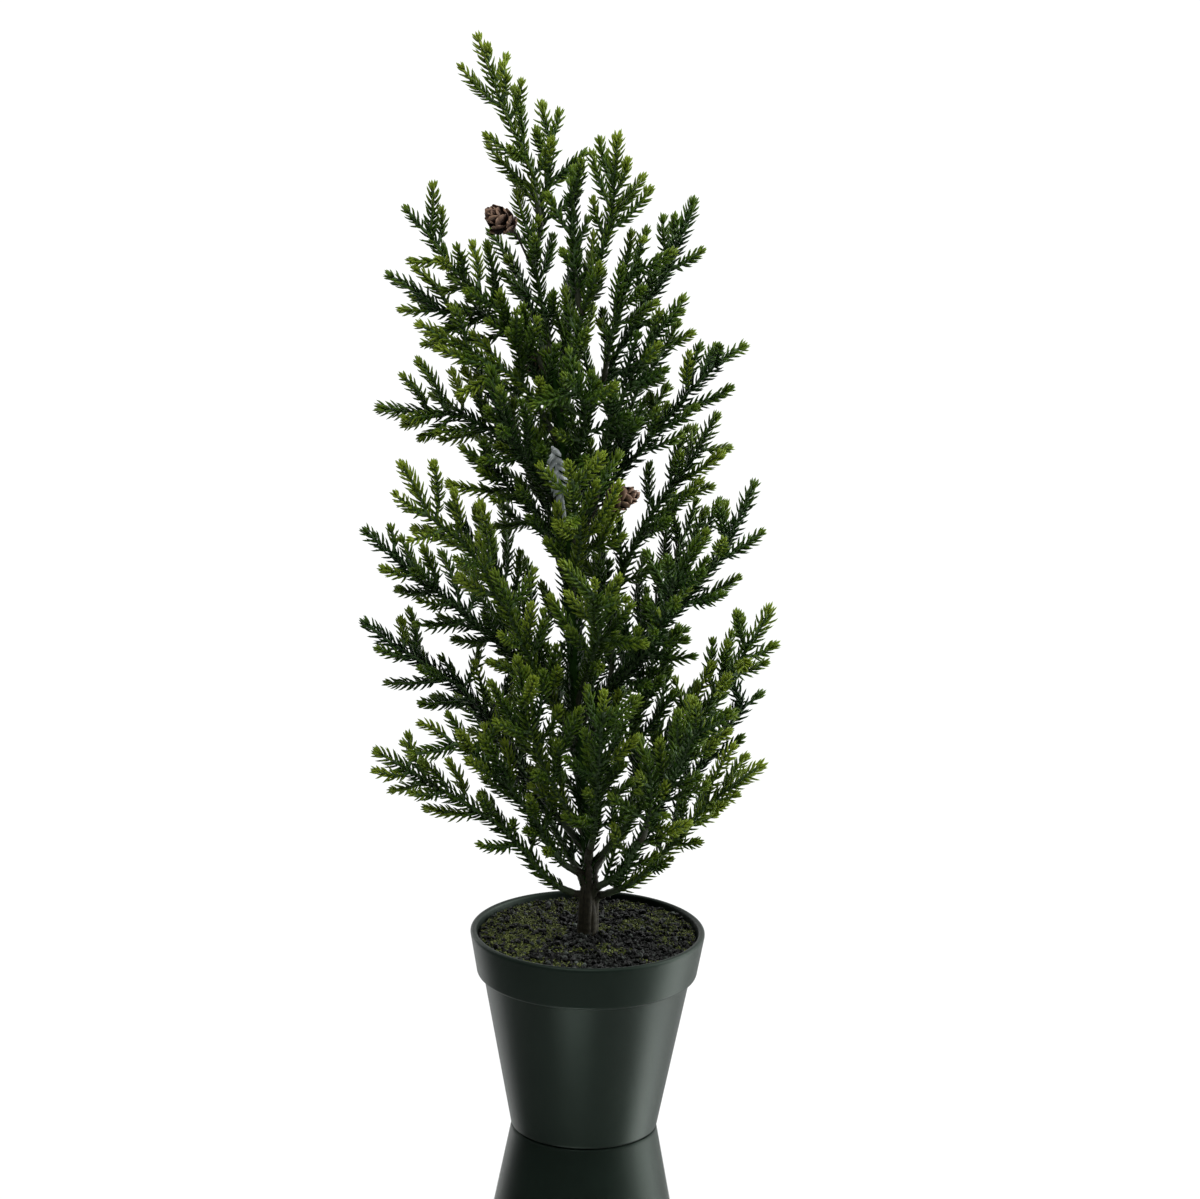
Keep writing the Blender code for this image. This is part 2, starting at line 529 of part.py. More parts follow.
class Crowd:
    """All branches as straight pieces, at rest and at every step of every bough's bend."""

    def __init__(self, pivots, axes):
        self.pivots, self.axes = pivots, axes
        self.rest, self.bent, self.ends = {}, {}, {}

    def turn(self, bough, pieces, degrees):
        spin = np.array(Matrix.Rotation(math.radians(degrees), 3, self.axes[bough]))
        pivot = np.array(self.pivots[bough])
        moved = pieces.copy()
        moved[:, 0:3] = (pieces[:, 0:3] - pivot) @ spin.T + pivot
        moved[:, 3:6] = (pieces[:, 3:6] - pivot) @ spin.T + pivot
        return moved

    def swung(self, bough, pieces):
        if bough not in self.pivots:
            return pieces, (pieces, pieces)
        low, high = BENDS[bough]
        steps = [low + (high - low) * i / BEND_STEPS for i in range(BEND_STEPS + 1)]
        return (np.concatenate([self.turn(bough, pieces, step) for step in steps]),
                (self.turn(bough, pieces, low), self.turn(bough, pieces, high)))

    def add(self, bough, pieces):
        bent, ends = self.swung(bough, pieces)
        if bough in self.rest:
            pieces = np.concatenate([self.rest[bough], pieces])
            bent = np.concatenate([self.bent[bough], bent])
            ends = tuple(np.concatenate(pair) for pair in zip(self.ends[bough], ends))
        self.rest[bough], self.bent[bough], self.ends[bough] = pieces, bent, ends

    def has_room(self, bough, twig, stem_mark):
        """Whether the twig keeps its distance at rest and passes everything when boughs bend."""
        outer = twig[int(len(twig) * FILL_FORK):]
        own = self.rest[bough]
        own = own[own[:, 7] != stem_mark]
        if len(own) and smallest_gap(outer, own) < FILL_APART:
            return False
        others = [name for name in self.rest if name != bough]
        if smallest_gap(twig, np.concatenate([self.rest[name] for name in others])) < FILL_APART:
            return False
        bent, ends = self.swung(bough, twig)
        if smallest_gap(bent, np.concatenate([self.rest[name] for name in others])) < FILL_CLEAR:
            return False
        if smallest_gap(twig, np.concatenate([self.bent[name] for name in others])) < FILL_CLEAR:
            return False
        for side, end in enumerate(ends):
            if smallest_gap(end, np.concatenate([self.ends[name][side] for name in others])) < FILL_CLEAR:
                return False
        return True


def bough_axes(routes, pivots):
    """The level line each bough bends about: a positive turn carries the bough outward and down."""
    axes = {}
    for bough, pivot in pivots.items():
        middle, total = Vector(), 0.0
        for name, spray in CROWN.items():
            if spray.bough != bough:
                continue
            runs = [routes[name]]
            runs += [twig_route(routes[name], share, place(tip)) for share, tip in spray.twigs]
            for route in runs:
                for a, b in zip(route, route[1:]):
                    middle += (a + b) / 2 * (b - a).length
                    total += (b - a).length
        outward = middle / total - pivot
        outward.z = 0.0
        axes[bough] = Vector((0.0, 0.0, 1.0)).cross(outward.normalized())
    return axes


def crown_edges(routes):
    """The listed tips and twig tips, which mark the crown's outline."""
    tips = [route[-1] for route in routes.values()]
    tips += [place(tip) for spray in CROWN.values() for _, tip in spray.twigs]
    return tips


def inside_crown(point, tips):
    """Whether listed tips reach further out than the point near its own height, and higher."""
    level = [tip for tip in tips if abs(tip.z - point.z) < EDGE_BAND and tip.x * point.x > 0]
    front = [tip for tip in tips if abs(tip.z - point.z) < EDGE_BAND and tip.y * point.y > 0]
    return (any(abs(tip.x) > abs(point.x) + EDGE_INSET for tip in level)
            and any(abs(tip.y) > abs(point.y) - EDGE_MARGIN for tip in front)
            and any(tip.z > point.z + EDGE_MARGIN for tip in tips))


def fill_twigs(routes, radii, pivots):
    """Small side twigs for each spray, placed round its stem wherever they have room."""
    crowd = Crowd(pivots, bough_axes(routes, pivots))
    crowd.add("trunk_sprays", pieces_of(routes["trunk"], radii["trunk"]))
    for mark, (name, spray) in enumerate(CROWN.items()):
        crowd.add(spray.bough, pieces_of(routes[name], radii[name], mark))
        for share, tip in spray.twigs:
            crowd.add(spray.bough, pieces_of(twig_route(routes[name], share, place(tip)), TWIG_RADIUS))
    for name, cone in CONES.items():
        wire, body = cone_line(cone, routes, radii)
        crowd.add(cone.bough, pieces_of(wire, SPIKE_RADIUS))
        crowd.add(cone.bough, pieces_of(body, CONE_RADIUS + FILL_APART))
    crowd.add("trunk_sprays", pieces_of(pale_twig_route(routes, radii), TWIG_RADIUS))
    tips = crown_edges(routes)
    fills = {name: [] for name in CROWN}
    turn = 0.0
    for mark, (name, spray) in enumerate(CROWN.items()):
        stem = routes[name]
        length = sum((b - a).length for a, b in zip(stem, stem[1:]))
        pitch = FILL_PITCH * CROWN_HEIGHT / LAID_OUT_HEIGHT
        stations = int(length * (FILL_END - FILL_START) / pitch) + 1
        for station in range(stations):
            share = FILL_START + station * pitch / length
            turn += FILL_TURN
            if sum(len(found) for found in fills.values()) >= FILL_MOST:
                return fills
            found = fitting_twig(stem, share, turn, spray.bough, mark, crowd, tips)
            if found is not None:
                crowd.add(spray.bough, pieces_of(twig_route(stem, *found, FINE_PIECES), TWIG_RADIUS))
                fills[name].append(found)
    return fills


def fitting_twig(stem, share, turn, bough, mark, crowd, tips):
    """Share and tip of the longest twig near the wanted direction that has room, or None."""
    fork, direction = along(stem, share)
    across = direction.cross(Vector((0.0, 0.0, 1.0))).normalized()
    over = across.cross(direction)
    for length in FILL_LENGTHS:
        for lean in FILL_LEANS:
            for extra in FILL_TRIES:
                angle = turn + extra
                sideways = across * math.cos(angle) + over * math.sin(angle)
                tip = fork + (direction * math.sqrt(1 - lean * lean) + sideways * lean) * length
                if tip.z < soil_top() + FILL_ABOVE_SOIL or not inside_crown(tip, tips):
                    continue
                twig = twig_route(stem, share, tip, FINE_PIECES)
                if crowd.has_room(bough, pieces_of(twig, TWIG_RADIUS), mark):
                    return share, tip
    return None


def spray_radius(name):
    return BOUGH_RADIUS if name in THICK_BOUGHS else STEM_RADIUS


def crown_routes():
    """Every spray's main route, worked out in the order in which they grow."""
    routes = {"trunk": smooth_route([place(p) for p in TRUNK_POINTS], 2)}
    radii = {"trunk": ROD_RADIUS}
    for name, spray in CROWN.items():
        radius = spray_radius(name)
        points = rooted(routes[spray.parent], radii[spray.parent], spray.share,
                        [place(p) for p in spray.points], radius)
        routes[name] = smooth_route(points, 2)
        radii[name] = radius
    return routes, radii


def bough_pivots(routes):
    """Where each bough bends: the root of its first spray, where the wire leaves the trunk."""
    pivots = {}
    for name, spray in CROWN.items():
        if spray.bough not in pivots and spray.bough != "trunk_sprays":
            pivots[spray.bough] = routes[name][0]
    return pivots


def make_pivots(pivots, collection):
    empties = {}
    for name, point in pivots.items():
        empty = bpy.data.objects.new(name + "_pivot", None)
        empty.location = point
        empty.empty_display_size = 0.01
        collection.objects.link(empty)
        empties[name] = empty
    return empties


def hang(piece, bough, empties, pivots):
    """Parents the piece to its bough's pivot and leaves it where it is."""
    if bough in empties:
        piece.parent = empties[bough]
        piece.location = -pivots[bough]


def build_trunk(routes, collection):
    bark = material("bark_wrap", (0.10, 0.06, 0.035), 0.8)
    foot = Vector((0.0, 0.0, POT_FLOOR + ROD_END_ABOVE_FLOOR))
    rod = tube("trunk_rod", [foot] + routes["trunk"], ROD_RADIUS, 2, collection)
    rod.data.materials.append(bark)
    tape_low = soil_top() + SOIL_MOUND + GAP
    bore = ROD_RADIUS + GAP
    tape_high = tape_low + TAPE_HEIGHT
    outline = [(bore, tape_high), (TAPE_RADIUS * 0.8, tape_high),
               (TAPE_RADIUS, tape_low + TAPE_HEIGHT * 0.75), (TAPE_RADIUS * 1.05, tape_low), (bore, tape_low)]
    turned("trunk_tape", outline, TAPE_STEPS, collection, bark)


def build_sprays(routes, radii, fills, collection, cutters, empties, pivots):
    green = material("foliage", (0.03, 0.09, 0.03), 0.6)
    for name, spray in CROWN.items():
        stem = tube(name, routes[name], radii[name], 1, collection)
        twigs = []
        listed = [(share, place(tip)) for share, tip in spray.twigs]
        for number, (share, tip) in enumerate(listed + fills[name]):
            route = twig_route(routes[name], share, tip)
            twigs.append(tube(f"{name}_twig_{number}", route, TWIG_RADIUS, 0, collection))
        fuse(stem, twigs, cutters)
        stem.data.materials.append(green)
        hang(stem, spray.bough, empties, pivots)


def cone_outline():
    """An egg shape, foot at the origin, along +Z, run down its outer side."""
    count = 7
    outline = []
    for i in range(count + 1):
        share = 1.0 - i / count
        swell = math.sin(math.pi * share ** 0.72) ** 0.75 if 0 < share < 1 else 0.0
        outline.append((CONE_RADIUS * swell, CONE_LENGTH * share))
    return outline


def cone_line(cone, routes, radii):
    """The route of the cone's wire, and the middle line of the cone."""
    foot = place(cone.foot)
    direction = Vector(cone.direction).normalized()
    wire = rooted(routes[cone.parent], radii[cone.parent], cone.share,
                  [foot - direction * WIRE_STRAIGHT, foot - direction * GAP], SPIKE_RADIUS)
    return wire, [foot + direction * CONE_RADIUS / 2, foot + direction * (CONE_LENGTH - CONE_RADIUS / 2)]


def build_cone(name, cone, routes, radii, collection, empties, pivots):
    brown = material("cone_brown", (0.10, 0.05, 0.03), 0.7)
    foot = place(cone.foot)
    direction = Vector(cone.direction).normalized()
    body = turned("cone_" + name, cone_outline(), CONE_STEPS, collection, brown)
    body.rotation_mode = "QUATERNION"
    body.rotation_quaternion = Vector((0, 0, 1)).rotation_difference(direction)
    body.location = foot
    route = cone_line(cone, routes, radii)[0]
    wire = tube("cone_wire_" + name, route, SPIKE_RADIUS, 1, collection)
    wire.data.materials.append(material("cone_wire", (0.12, 0.08, 0.05), 0.6))
    hang(wire, cone.bough, empties, pivots)
    if cone.bough in empties:
        body.parent = empties[cone.bough]
        body.location = foot - pivots[cone.bough]


def pale_twig_route(routes, radii):
    points = rooted(routes["trunk"], radii["trunk"], PALE_TWIG.share,
                    [place(p) for p in PALE_TWIG.points], TWIG_RADIUS)
    return smooth_route(points, 2)


def build_pale_twig(routes, radii, collection):
    piece = tube("pale_twig", pale_twig_route(routes, radii), TWIG_RADIUS, 1, collection)
    piece.data.materials.append(material("pale_plastic", (0.55, 0.57, 0.58), 0.5))


def main():
    remove_everything()
    tree = make_collection("tabletop_tree")
    cutters = make_collection("twig_solids")
    routes, radii = crown_routes()
    pivots = bough_pivots(routes)
    empties = make_pivots(pivots, tree)
    build_pot(tree)
    build_filling(tree)
    build_trunk(routes, tree)
    fills = fill_twigs(routes, radii, pivots)
    build_sprays(routes, radii, fills, tree, cutters, empties, pivots)
    for name, cone in CONES.items():
        build_cone(name, cone, routes, radii, tree, empties, pivots)
    build_pale_twig(routes, radii, tree)


main()
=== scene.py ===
"""Looks of the artificial tabletop tree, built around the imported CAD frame."""
import heapq
import json
import math

import bmesh
import bpy
import numpy as np
from mathutils import Matrix, Vector, noise
from mathutils.bvhtree import BVHTree

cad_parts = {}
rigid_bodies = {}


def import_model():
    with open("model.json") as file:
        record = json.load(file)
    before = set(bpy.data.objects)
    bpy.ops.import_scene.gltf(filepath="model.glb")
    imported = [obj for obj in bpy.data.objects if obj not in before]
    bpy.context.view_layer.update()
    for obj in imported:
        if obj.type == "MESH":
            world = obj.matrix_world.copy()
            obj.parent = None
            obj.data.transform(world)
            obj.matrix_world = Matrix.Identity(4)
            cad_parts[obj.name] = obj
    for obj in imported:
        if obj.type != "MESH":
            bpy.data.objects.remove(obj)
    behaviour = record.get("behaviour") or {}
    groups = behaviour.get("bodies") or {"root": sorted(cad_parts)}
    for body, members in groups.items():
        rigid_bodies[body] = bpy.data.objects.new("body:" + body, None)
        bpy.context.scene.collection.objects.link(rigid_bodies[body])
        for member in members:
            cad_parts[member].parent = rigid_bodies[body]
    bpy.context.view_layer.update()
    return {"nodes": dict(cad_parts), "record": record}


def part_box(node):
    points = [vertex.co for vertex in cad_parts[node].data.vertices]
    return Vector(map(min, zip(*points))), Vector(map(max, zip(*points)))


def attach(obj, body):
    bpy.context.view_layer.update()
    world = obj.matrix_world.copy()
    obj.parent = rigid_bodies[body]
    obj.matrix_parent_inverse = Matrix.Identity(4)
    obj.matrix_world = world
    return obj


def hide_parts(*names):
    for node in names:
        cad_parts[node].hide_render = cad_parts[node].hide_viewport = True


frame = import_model()
RECORD = frame["record"]
BODY_OF = {node: body for body, nodes in RECORD["behaviour"]["bodies"].items() for node in nodes}
SLOT_OF = {row["node"]: row["material_slot"] for row in RECORD["subparts"]}
SPRAYS = sorted(node for node, slot in SLOT_OF.items() if slot == "foliage")

# Needles ------------------------------------------------------------------------------
NEEDLE_LENGTH = 0.0064
NEEDLE_HALF_WIDTH = 0.00080
NEEDLE_ROWS = 6
NEEDLE_PITCH = 0.0036          # between needles of one row
NEEDLE_LEAN = math.radians(52)  # off the twig at the foot of the needle
NEEDLE_CURL = math.radians(26)  # how far it bends forward by its tip
CROWN_NEEDLES = 9              # rosette at the end of each twig
NEEDLE_CORNERS = 13            # three rings of four and the point
NEEDLE_SEAT = 0.0006           # fineness with which needles are placed along a twig
# Sprays whose needles get painted light, as if lit from the front and from above
PAINTED_LIT_SPRAYS = ("left_front", "front_mid", "leader_tip", "leader_side", "top_mid", "front_upper")

# Stems: radius at the foot and at the tip, and the bare length before the first needle
TWIG_RADII = (0.00105, 0.00070)
STEM_RADII = (0.00165, 0.00075)
LOW_STEM_FOOT = 0.0022
TWIG_BARE = 0.0030
STEM_BARE = 0.011
LOW_STEM_BARE = 0.021
STEM_STEP = 0.0018             # between the rings of a stem
BARK_STEP = 0.0012             # between the rings of wrapped parts
TAIL_LENGTH = 0.007            # how far back a stem starts inside its parent
SCAR_PITCH = 0.0042            # rings of scars on bare stems

# Reading the CAD solids
TOUCHING = 0.00001             # corners closer than this are one
FINEST_EDGE = 0.0020
SPAN_STEP = 0.0020             # between level sets along a twig
SHORTEST_LINE = 3              # level sets in the shortest twig

# Side sprigs of the inner crown
SIDE_LENGTHS = (0.018, 0.030)
SIDE_STEP = 0.0105             # between sprigs along a stem
SIDE_FIRST = 0.009             # from the foot of the stem, and from its tip
SIDE_REACH = 0.040             # how far from the trunk they still grow
SIDE_APART = 0.0098            # how far they keep from other stems
SIDE_BAND = (0.050, 0.375)     # over the soil
SIDE_TURNS = 8                 # directions tried for each


# Twig centrelines, read from the CAD solids -----------------------------------------
def fine_mesh(node):
    """The node's surface with no edge over 2 mm: vertices and the neighbours of each."""
    mesh = bmesh.new()
    mesh.from_mesh(frame["nodes"][node].data)
    bmesh.ops.remove_doubles(mesh, verts=mesh.verts, dist=TOUCHING)
    for _ in range(6):
        long_edges = [e for e in mesh.edges if e.calc_length() > FINEST_EDGE]
        if not long_edges:
            break
        bmesh.ops.subdivide_edges(mesh, edges=long_edges, cuts=1)
        bmesh.ops.triangulate(mesh, faces=mesh.faces)
    mesh.verts.ensure_lookup_table()
    mesh.verts.index_update()
    points = np.array([v.co for v in mesh.verts])
    near = [[e.other_vert(v).index for e in v.link_edges] for v in mesh.verts]
    mesh.free()
    return points, near


def walk(points, near, start_radius=0.0030):
    """Distance over the surface from the node's root, which is the lowest end of every stem."""
    lowest = points[points[:, 2].argmin()]
    far = np.full(len(points), np.inf)
    queue = []
    for i in np.where(np.linalg.norm(points - lowest, axis=1) < start_radius)[0]:
        far[i] = np.linalg.norm(points[i] - lowest) * 0.2
        heapq.heappush(queue, (far[i], int(i)))
    while queue:
        d, i = heapq.heappop(queue)
        if d > far[i]:
            continue
        for j in near[i]:
            step = d + np.linalg.norm(points[i] - points[j])
            if step < far[j]:
                far[j] = step
                heapq.heappush(queue, (step, j))
    return far


def level_sets(points, near, far):
    """Rings of the surface at equal distances from the root, as a tree of centres and children."""
    level = np.floor(far / SPAN_STEP).astype(int)
    ring_of = np.full(len(points), -1)
    rings = []
    for k in range(level.max() + 1):
        for start in np.where(level == k)[0]:
            if ring_of[start] >= 0:
                continue
            members, stack = [], [int(start)]
            ring_of[start] = len(rings)
            while stack:
                i = stack.pop()
                members.append(i)
                for j in near[i]:
                    if level[j] == k and ring_of[j] < 0:
                        ring_of[j] = len(rings)
                        stack.append(j)
            below = [ring_of[j] for i in members for j in near[i] if 0 <= ring_of[j] < len(rings)
                     and level[j] == k - 1]
            centre = points[members].mean(0)
            parent = max(set(below), key=below.count) if below else -1
            rings.append({"centre": centre, "children": []})
            if parent >= 0:
                rings[parent]["children"].append(len(rings) - 1)
    return rings


def reach(rings, i, known):
    """How far the tree of rings still grows beyond ring i."""
    if i not in known:
        known[i] = 1 + max([reach(rings, c, known) for c in rings[i]["children"]], default=0)
    return known[i]


def smooth(path, rounds=3):
    """The path with its inner points drawn towards their neighbours."""
    path = path.copy()
    for _ in range(rounds):
        path[1:-1] = path[1:-1] * 0.5 + (path[:-2] + path[2:]) * 0.25
    return path


def branches(node):
    """The node's centrelines, the main stem first: a list of (points, is_twig)."""
    points, near = fine_mesh(node)
    rings = level_sets(points, near, walk(points, near))
    known = {}
    for i in reversed(range(len(rings))):
        reach(rings, i, known)
    found, todo = [], [(0, None)]
    while todo:
        i, start = todo.pop(0)
        line = [] if start is None else [rings[start]["centre"]]
        while True:
            line.append(rings[i]["centre"])
            ahead = [c for c in rings[i]["children"] if known[c] >= SHORTEST_LINE]
            if not ahead:
                break
            ahead.sort(key=lambda c: -known[c])
            for other in ahead[1:]:
                todo.append((other, i))
            i = ahead[0]
        if len(line) >= SHORTEST_LINE:
            found.append((smooth(np.array(line)), start is not None))
    return found


# Needles and stems --------------------------------------------------------------------
def resampled(path, step):
    """The path with evenly spaced points, and the distance of each along it."""
    lengths = np.concatenate([[0.0], np.cumsum(np.linalg.norm(np.diff(path, axis=0), axis=1))])
    count = max(int(round(lengths[-1] / step)), 2)
    at = np.linspace(0.0, lengths[-1], count + 1)
    return np.stack([np.interp(at, lengths, path[:, k]) for k in range(3)], axis=1), at


def carried_frames(points):
    """Tangents and side directions that turn as little as possible along the points."""
    tangents = np.gradient(points, axis=0)
    tangents /= np.linalg.norm(tangents, axis=1)[:, None]
    side = np.cross(tangents[0], [0.31, 0.52, 0.80])
    side /= np.linalg.norm(side)
    sides = [side]
    for t in tangents[1:]:
        side = side - t * side.dot(t)
        side /= np.linalg.norm(side)
        sides.append(side)
    return tangents, np.array(sides)


def tube_mesh(points, radii, sides=8):
    """Vertices and faces of a closed round tube along the points."""
    tangents, normals = carried_frames(points)
    binormals = np.cross(tangents, normals)
    turn = np.arange(sides) * 2 * math.pi / sides
    across = (np.cos(turn)[None, :, None] * normals[:, None, :]
              + np.sin(turn)[None, :, None] * binormals[:, None, :])
    vertices = (points[:, None, :] + radii[:, None, None] * across).reshape(-1, 3)
    faces = []
    for i in range(len(points) - 1):
        for k in range(sides):
            a, b = i * sides + k, i * sides + (k + 1) % sides
            faces.append((a, b, b + sides, a + sides))
    faces.append(tuple(reversed(range(sides))))
    faces.append(tuple(range((len(points) - 1) * sides, len(points) * sides)))
    return vertices, faces


NEEDLE_AT = np.array([0.0, 0.34, 0.72, 1.0])      # where its three rings and its point are
NEEDLE_SWELL = np.array([0.85, 1.0, 0.70])
NEEDLE_ALONG = np.array([0.0] * 4 + [0.34] * 4 + [0.72] * 4 + [1.0])


def needle_mesh(bases, tangents, radials, lengths, leans, curls, widths):
    """Curved, tapered four-sided needles, all at once: vertices and faces."""
    count = len(bases)
    sides = np.cross(tangents, radials)
    spine, heads = [bases], []
    for u0, u1 in zip(NEEDLE_AT, NEEDLE_AT[1:]):
        angle = leans - curls * (u0 + u1) / 2
        direction = np.cos(angle)[:, None] * tangents + np.sin(angle)[:, None] * radials
        heads.append(direction)
        spine.append(spine[-1] + direction * (lengths * (u1 - u0))[:, None])
    vertices = np.zeros((count, NEEDLE_CORNERS, 3))
    for ring in range(3):
        direction = heads[ring]
        up = np.cross(sides, direction)
        w = (widths * NEEDLE_SWELL[ring])[:, None]
        vertices[:, ring * 4 + 0] = spine[ring] + sides * w
        vertices[:, ring * 4 + 1] = spine[ring] + up * w * 0.8
        vertices[:, ring * 4 + 2] = spine[ring] - sides * w
        vertices[:, ring * 4 + 3] = spine[ring] - up * w * 0.8
    vertices[:, 12] = spine[3]
    pattern = [(3, 2, 1, 0)]
    for ring in range(2):
        for k in range(4):
            a, b = ring * 4 + k, ring * 4 + (k + 1) % 4
            pattern.append((a, b, b + 4, a + 4))
    tips = [(8 + k, 8 + (k + 1) % 4, 12) for k in range(4)]
    faces = []
    for i in range(count):
        low = i * NEEDLE_CORNERS
        faces.extend(tuple(low + v for v in face) for face in pattern)
        faces.extend(tuple(low + v for v in face) for face in tips)
    return vertices.reshape(-1, 3), faces


def needles_along(path, radius, bare, rng, scale):
    """Where needles stand on one branch, in staggered rows, and the rosette at its tip."""
    points, at = resampled(path, NEEDLE_SEAT)
    tangents, normals = carried_frames(points)
    binormals = np.cross(tangents, normals)
    total = at[-1]
    twist = rng.uniform(0, 2 * math.pi)
    places = []
    for row in range(NEEDLE_ROWS):
        offset = (0.5 if row % 2 else 0.0) + rng.uniform(-0.08, 0.08)
        count = int((total - bare) / NEEDLE_PITCH)
        for i in range(count):
            s = bare + (i + offset) * NEEDLE_PITCH + rng.normal(0, 0.00022)
            if s < bare or s > total - 0.0012 or rng.random() < 0.02:
                continue
            angle = twist + row * 2 * math.pi / NEEDLE_ROWS + rng.normal(0, 0.13)
            near_tip = max(0.0, 1.0 - (total - s) / 0.010)
            near_foot = min(1.0, (s - bare) / 0.006 * 0.3 + 0.7)
            length = NEEDLE_LENGTH * scale * near_foot * (1.0 - 0.22 * near_tip) * rng.normal(1.0, 0.06)
            lean = NEEDLE_LEAN * (1.0 - 0.25 * near_tip) + rng.normal(0, 0.09)
            places.append((s, angle, length, lean, NEEDLE_CURL + rng.normal(0, 0.10)))
    for i in range(CROWN_NEEDLES):
        angle = twist + i * 2.399
        ring = i / CROWN_NEEDLES
        length = NEEDLE_LENGTH * scale * rng.uniform(0.62, 0.80)
        lean = math.radians(12 + 30 * ring) + rng.normal(0, 0.06)
        places.append((total - 0.0003 - 0.0016 * ring, angle, length, lean, math.radians(8)))
    s, angle, length, lean, curl = (np.array(column) for column in zip(*places))
    i = np.clip(np.round(s / total * (len(points) - 1)).astype(int), 0, len(points) - 1)
    radials = np.cos(angle)[:, None] * normals[i] + np.sin(angle)[:, None] * binormals[i]
    bases = points[i] + radials * radius * 0.5
    freshness = np.clip(1.0 - (total - s) / 0.022, 0.0, 1.0)
    return bases, tangents[i], radials, length, lean, curl, freshness


class Crown:
    """All the stems of the crown, to find open places for side sprigs."""

    def __init__(self, traces, rod):
        self.rod = rod
        self.points = np.concatenate([path for traced in traces.values() for path, _ in traced])
        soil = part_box("soil_disc")[1].z
        self.band = soil + SIDE_BAND[0], soil + SIDE_BAND[1]

    def inside(self, point):
        """Whether a point is in the inner crown, near the trunk and between two heights."""
        middle = self.rod[np.abs(self.rod[:, 2] - point[2]).argmin()]
        return self.band[0] < point[2] < self.band[1] and math.hypot(*(point - middle)[:2]) < SIDE_REACH

    def side_sprigs(self, path, rng, first):
        """Short twigs off a stem, each turned to the most open side."""
        points, at = resampled(path, STEM_STEP)
        tangents, normals = carried_frames(points)
        binormals = np.cross(tangents, normals)
        grown, s = [], first
        while s < at[-1] - SIDE_FIRST:
            i = int(np.abs(at - s).argmin())
            s += SIDE_STEP
            length = rng.uniform(*SIDE_LENGTHS)
            start, best = rng.uniform(0, 2 * math.pi), None
            for k in range(SIDE_TURNS):
                angle = start + k * 2 * math.pi / SIDE_TURNS
                radial = math.cos(angle) * normals[i] + math.sin(angle) * binormals[i]
                heading = 0.72 * tangents[i] + 0.50 * radial + np.array([0.0, 0.0, 0.30])
                heading /= np.linalg.norm(heading)
                sprig = points[i] + np.outer((0.0, 0.35, 0.7, 1.0), heading * length)
                sprig[2:, 2] += np.array([0.0006, 0.0018])
                if not self.inside(sprig[-1]):
                    continue
                room = min(np.linalg.norm(self.points - end, axis=1).min() for end in sprig[2:])
                if best is None or room > best[0]:
                    best = (room, sprig)
            if best and best[0] > SIDE_APART:
                grown.append((smooth_line(list(best[1]), 4), True))
                self.points = np.concatenate([self.points, best[1]])
        return grown


def tail(node, root, lines):
    """Two points that lead from inside the parent's stem to the root of a spray."""
    best = None
    for other, line in lines.items():
        same = BODY_OF[other] == BODY_OF[node] != "root"
        if other == node or other != "trunk_rod" and not same:
            continue
        gaps = np.linalg.norm(line - root, axis=1)
        if best is None or gaps.min() < best[0]:
            best = (gaps.min(), line, int(gaps.argmin()))
    _, line, at = best
    lengths = np.cumsum(np.linalg.norm(np.diff(line[:at + 1][::-1], axis=0), axis=1))
    back = int(np.searchsorted(lengths, TAIL_LENGTH))
    inner = line[max(at - back - 1, 0)]
    return [inner, inner * 0.45 + root * 0.55 - np.array([0.0, 0.0, 0.0012])]


def mesh_of(name, parts):
    """One mesh from a list of (vertices, faces)."""
    faces, offset = [], 0
    for v, f in parts:
        faces.extend([tuple(i + offset for i in face) for face in f])
        offset += len(v)
    mesh = bpy.data.meshes.new(name)
    mesh.from_pydata(np.concatenate([v for v, _ in parts]).tolist(), [], faces)
    return mesh


def point_values(mesh, name, values):
    """Stores one number for each vertex, which the materials read by name."""
    attribute = mesh.attributes.new(name, "FLOAT", "POINT")
    attribute.data.foreach_set("value", np.ascontiguousarray(values, dtype=np.float32))


def stem_section(is_twig, low, at, bare, rng):
    """Radius at each place along a stem, with faint scar rings where it is bare."""
    foot, tip = TWIG_RADII if is_twig else STEM_RADII
    if low and not is_twig:
        foot = LOW_STEM_FOOT
    radii = foot + (tip - foot) * (at / at[-1]) ** 0.8
    if not is_twig:
        rings = np.sin(at / SCAR_PITCH * 2 * math.pi + rng.uniform(0, 6))
        scars = rings * rng.uniform(0.2, 1.0, len(at))
        radii = radii * (1.0 + 0.10 * scars * (at < bare + 0.004))
    return foot, radii


def branch_tone_and_painted_light(node, path, tone, rng):
    """Painted light and shade on the needles of one branch, over its random tone: lighter outside, high
    up and here and there in front, where light falls on the crown.
    """
    middle = path[len(path) // 2]
    outward = np.clip((math.hypot(middle[0], middle[1] + 0.012) - 0.035) / 0.05, -0.5, 1.2)
    height = np.clip((middle[2] - 0.16) / 0.44, 0.0, 1.0)
    # A random tone, plus painted light and shade: lighter further out from the trunk and higher up,
    # darker inside the crown and low down
    shade = tone * 0.5 + rng.normal(0, 0.5) + 0.9 * outward + 0.8 * height ** 2 - 0.2
    # Painted light on about one branch in six at the front
    if middle[1] < 0.01 and rng.random() < 0.18:
        shade += 1.6
    # Painted light on the sprays that face the front and the top
    return shade + (1.2 if node in PAINTED_LIT_SPRAYS else 0.0)


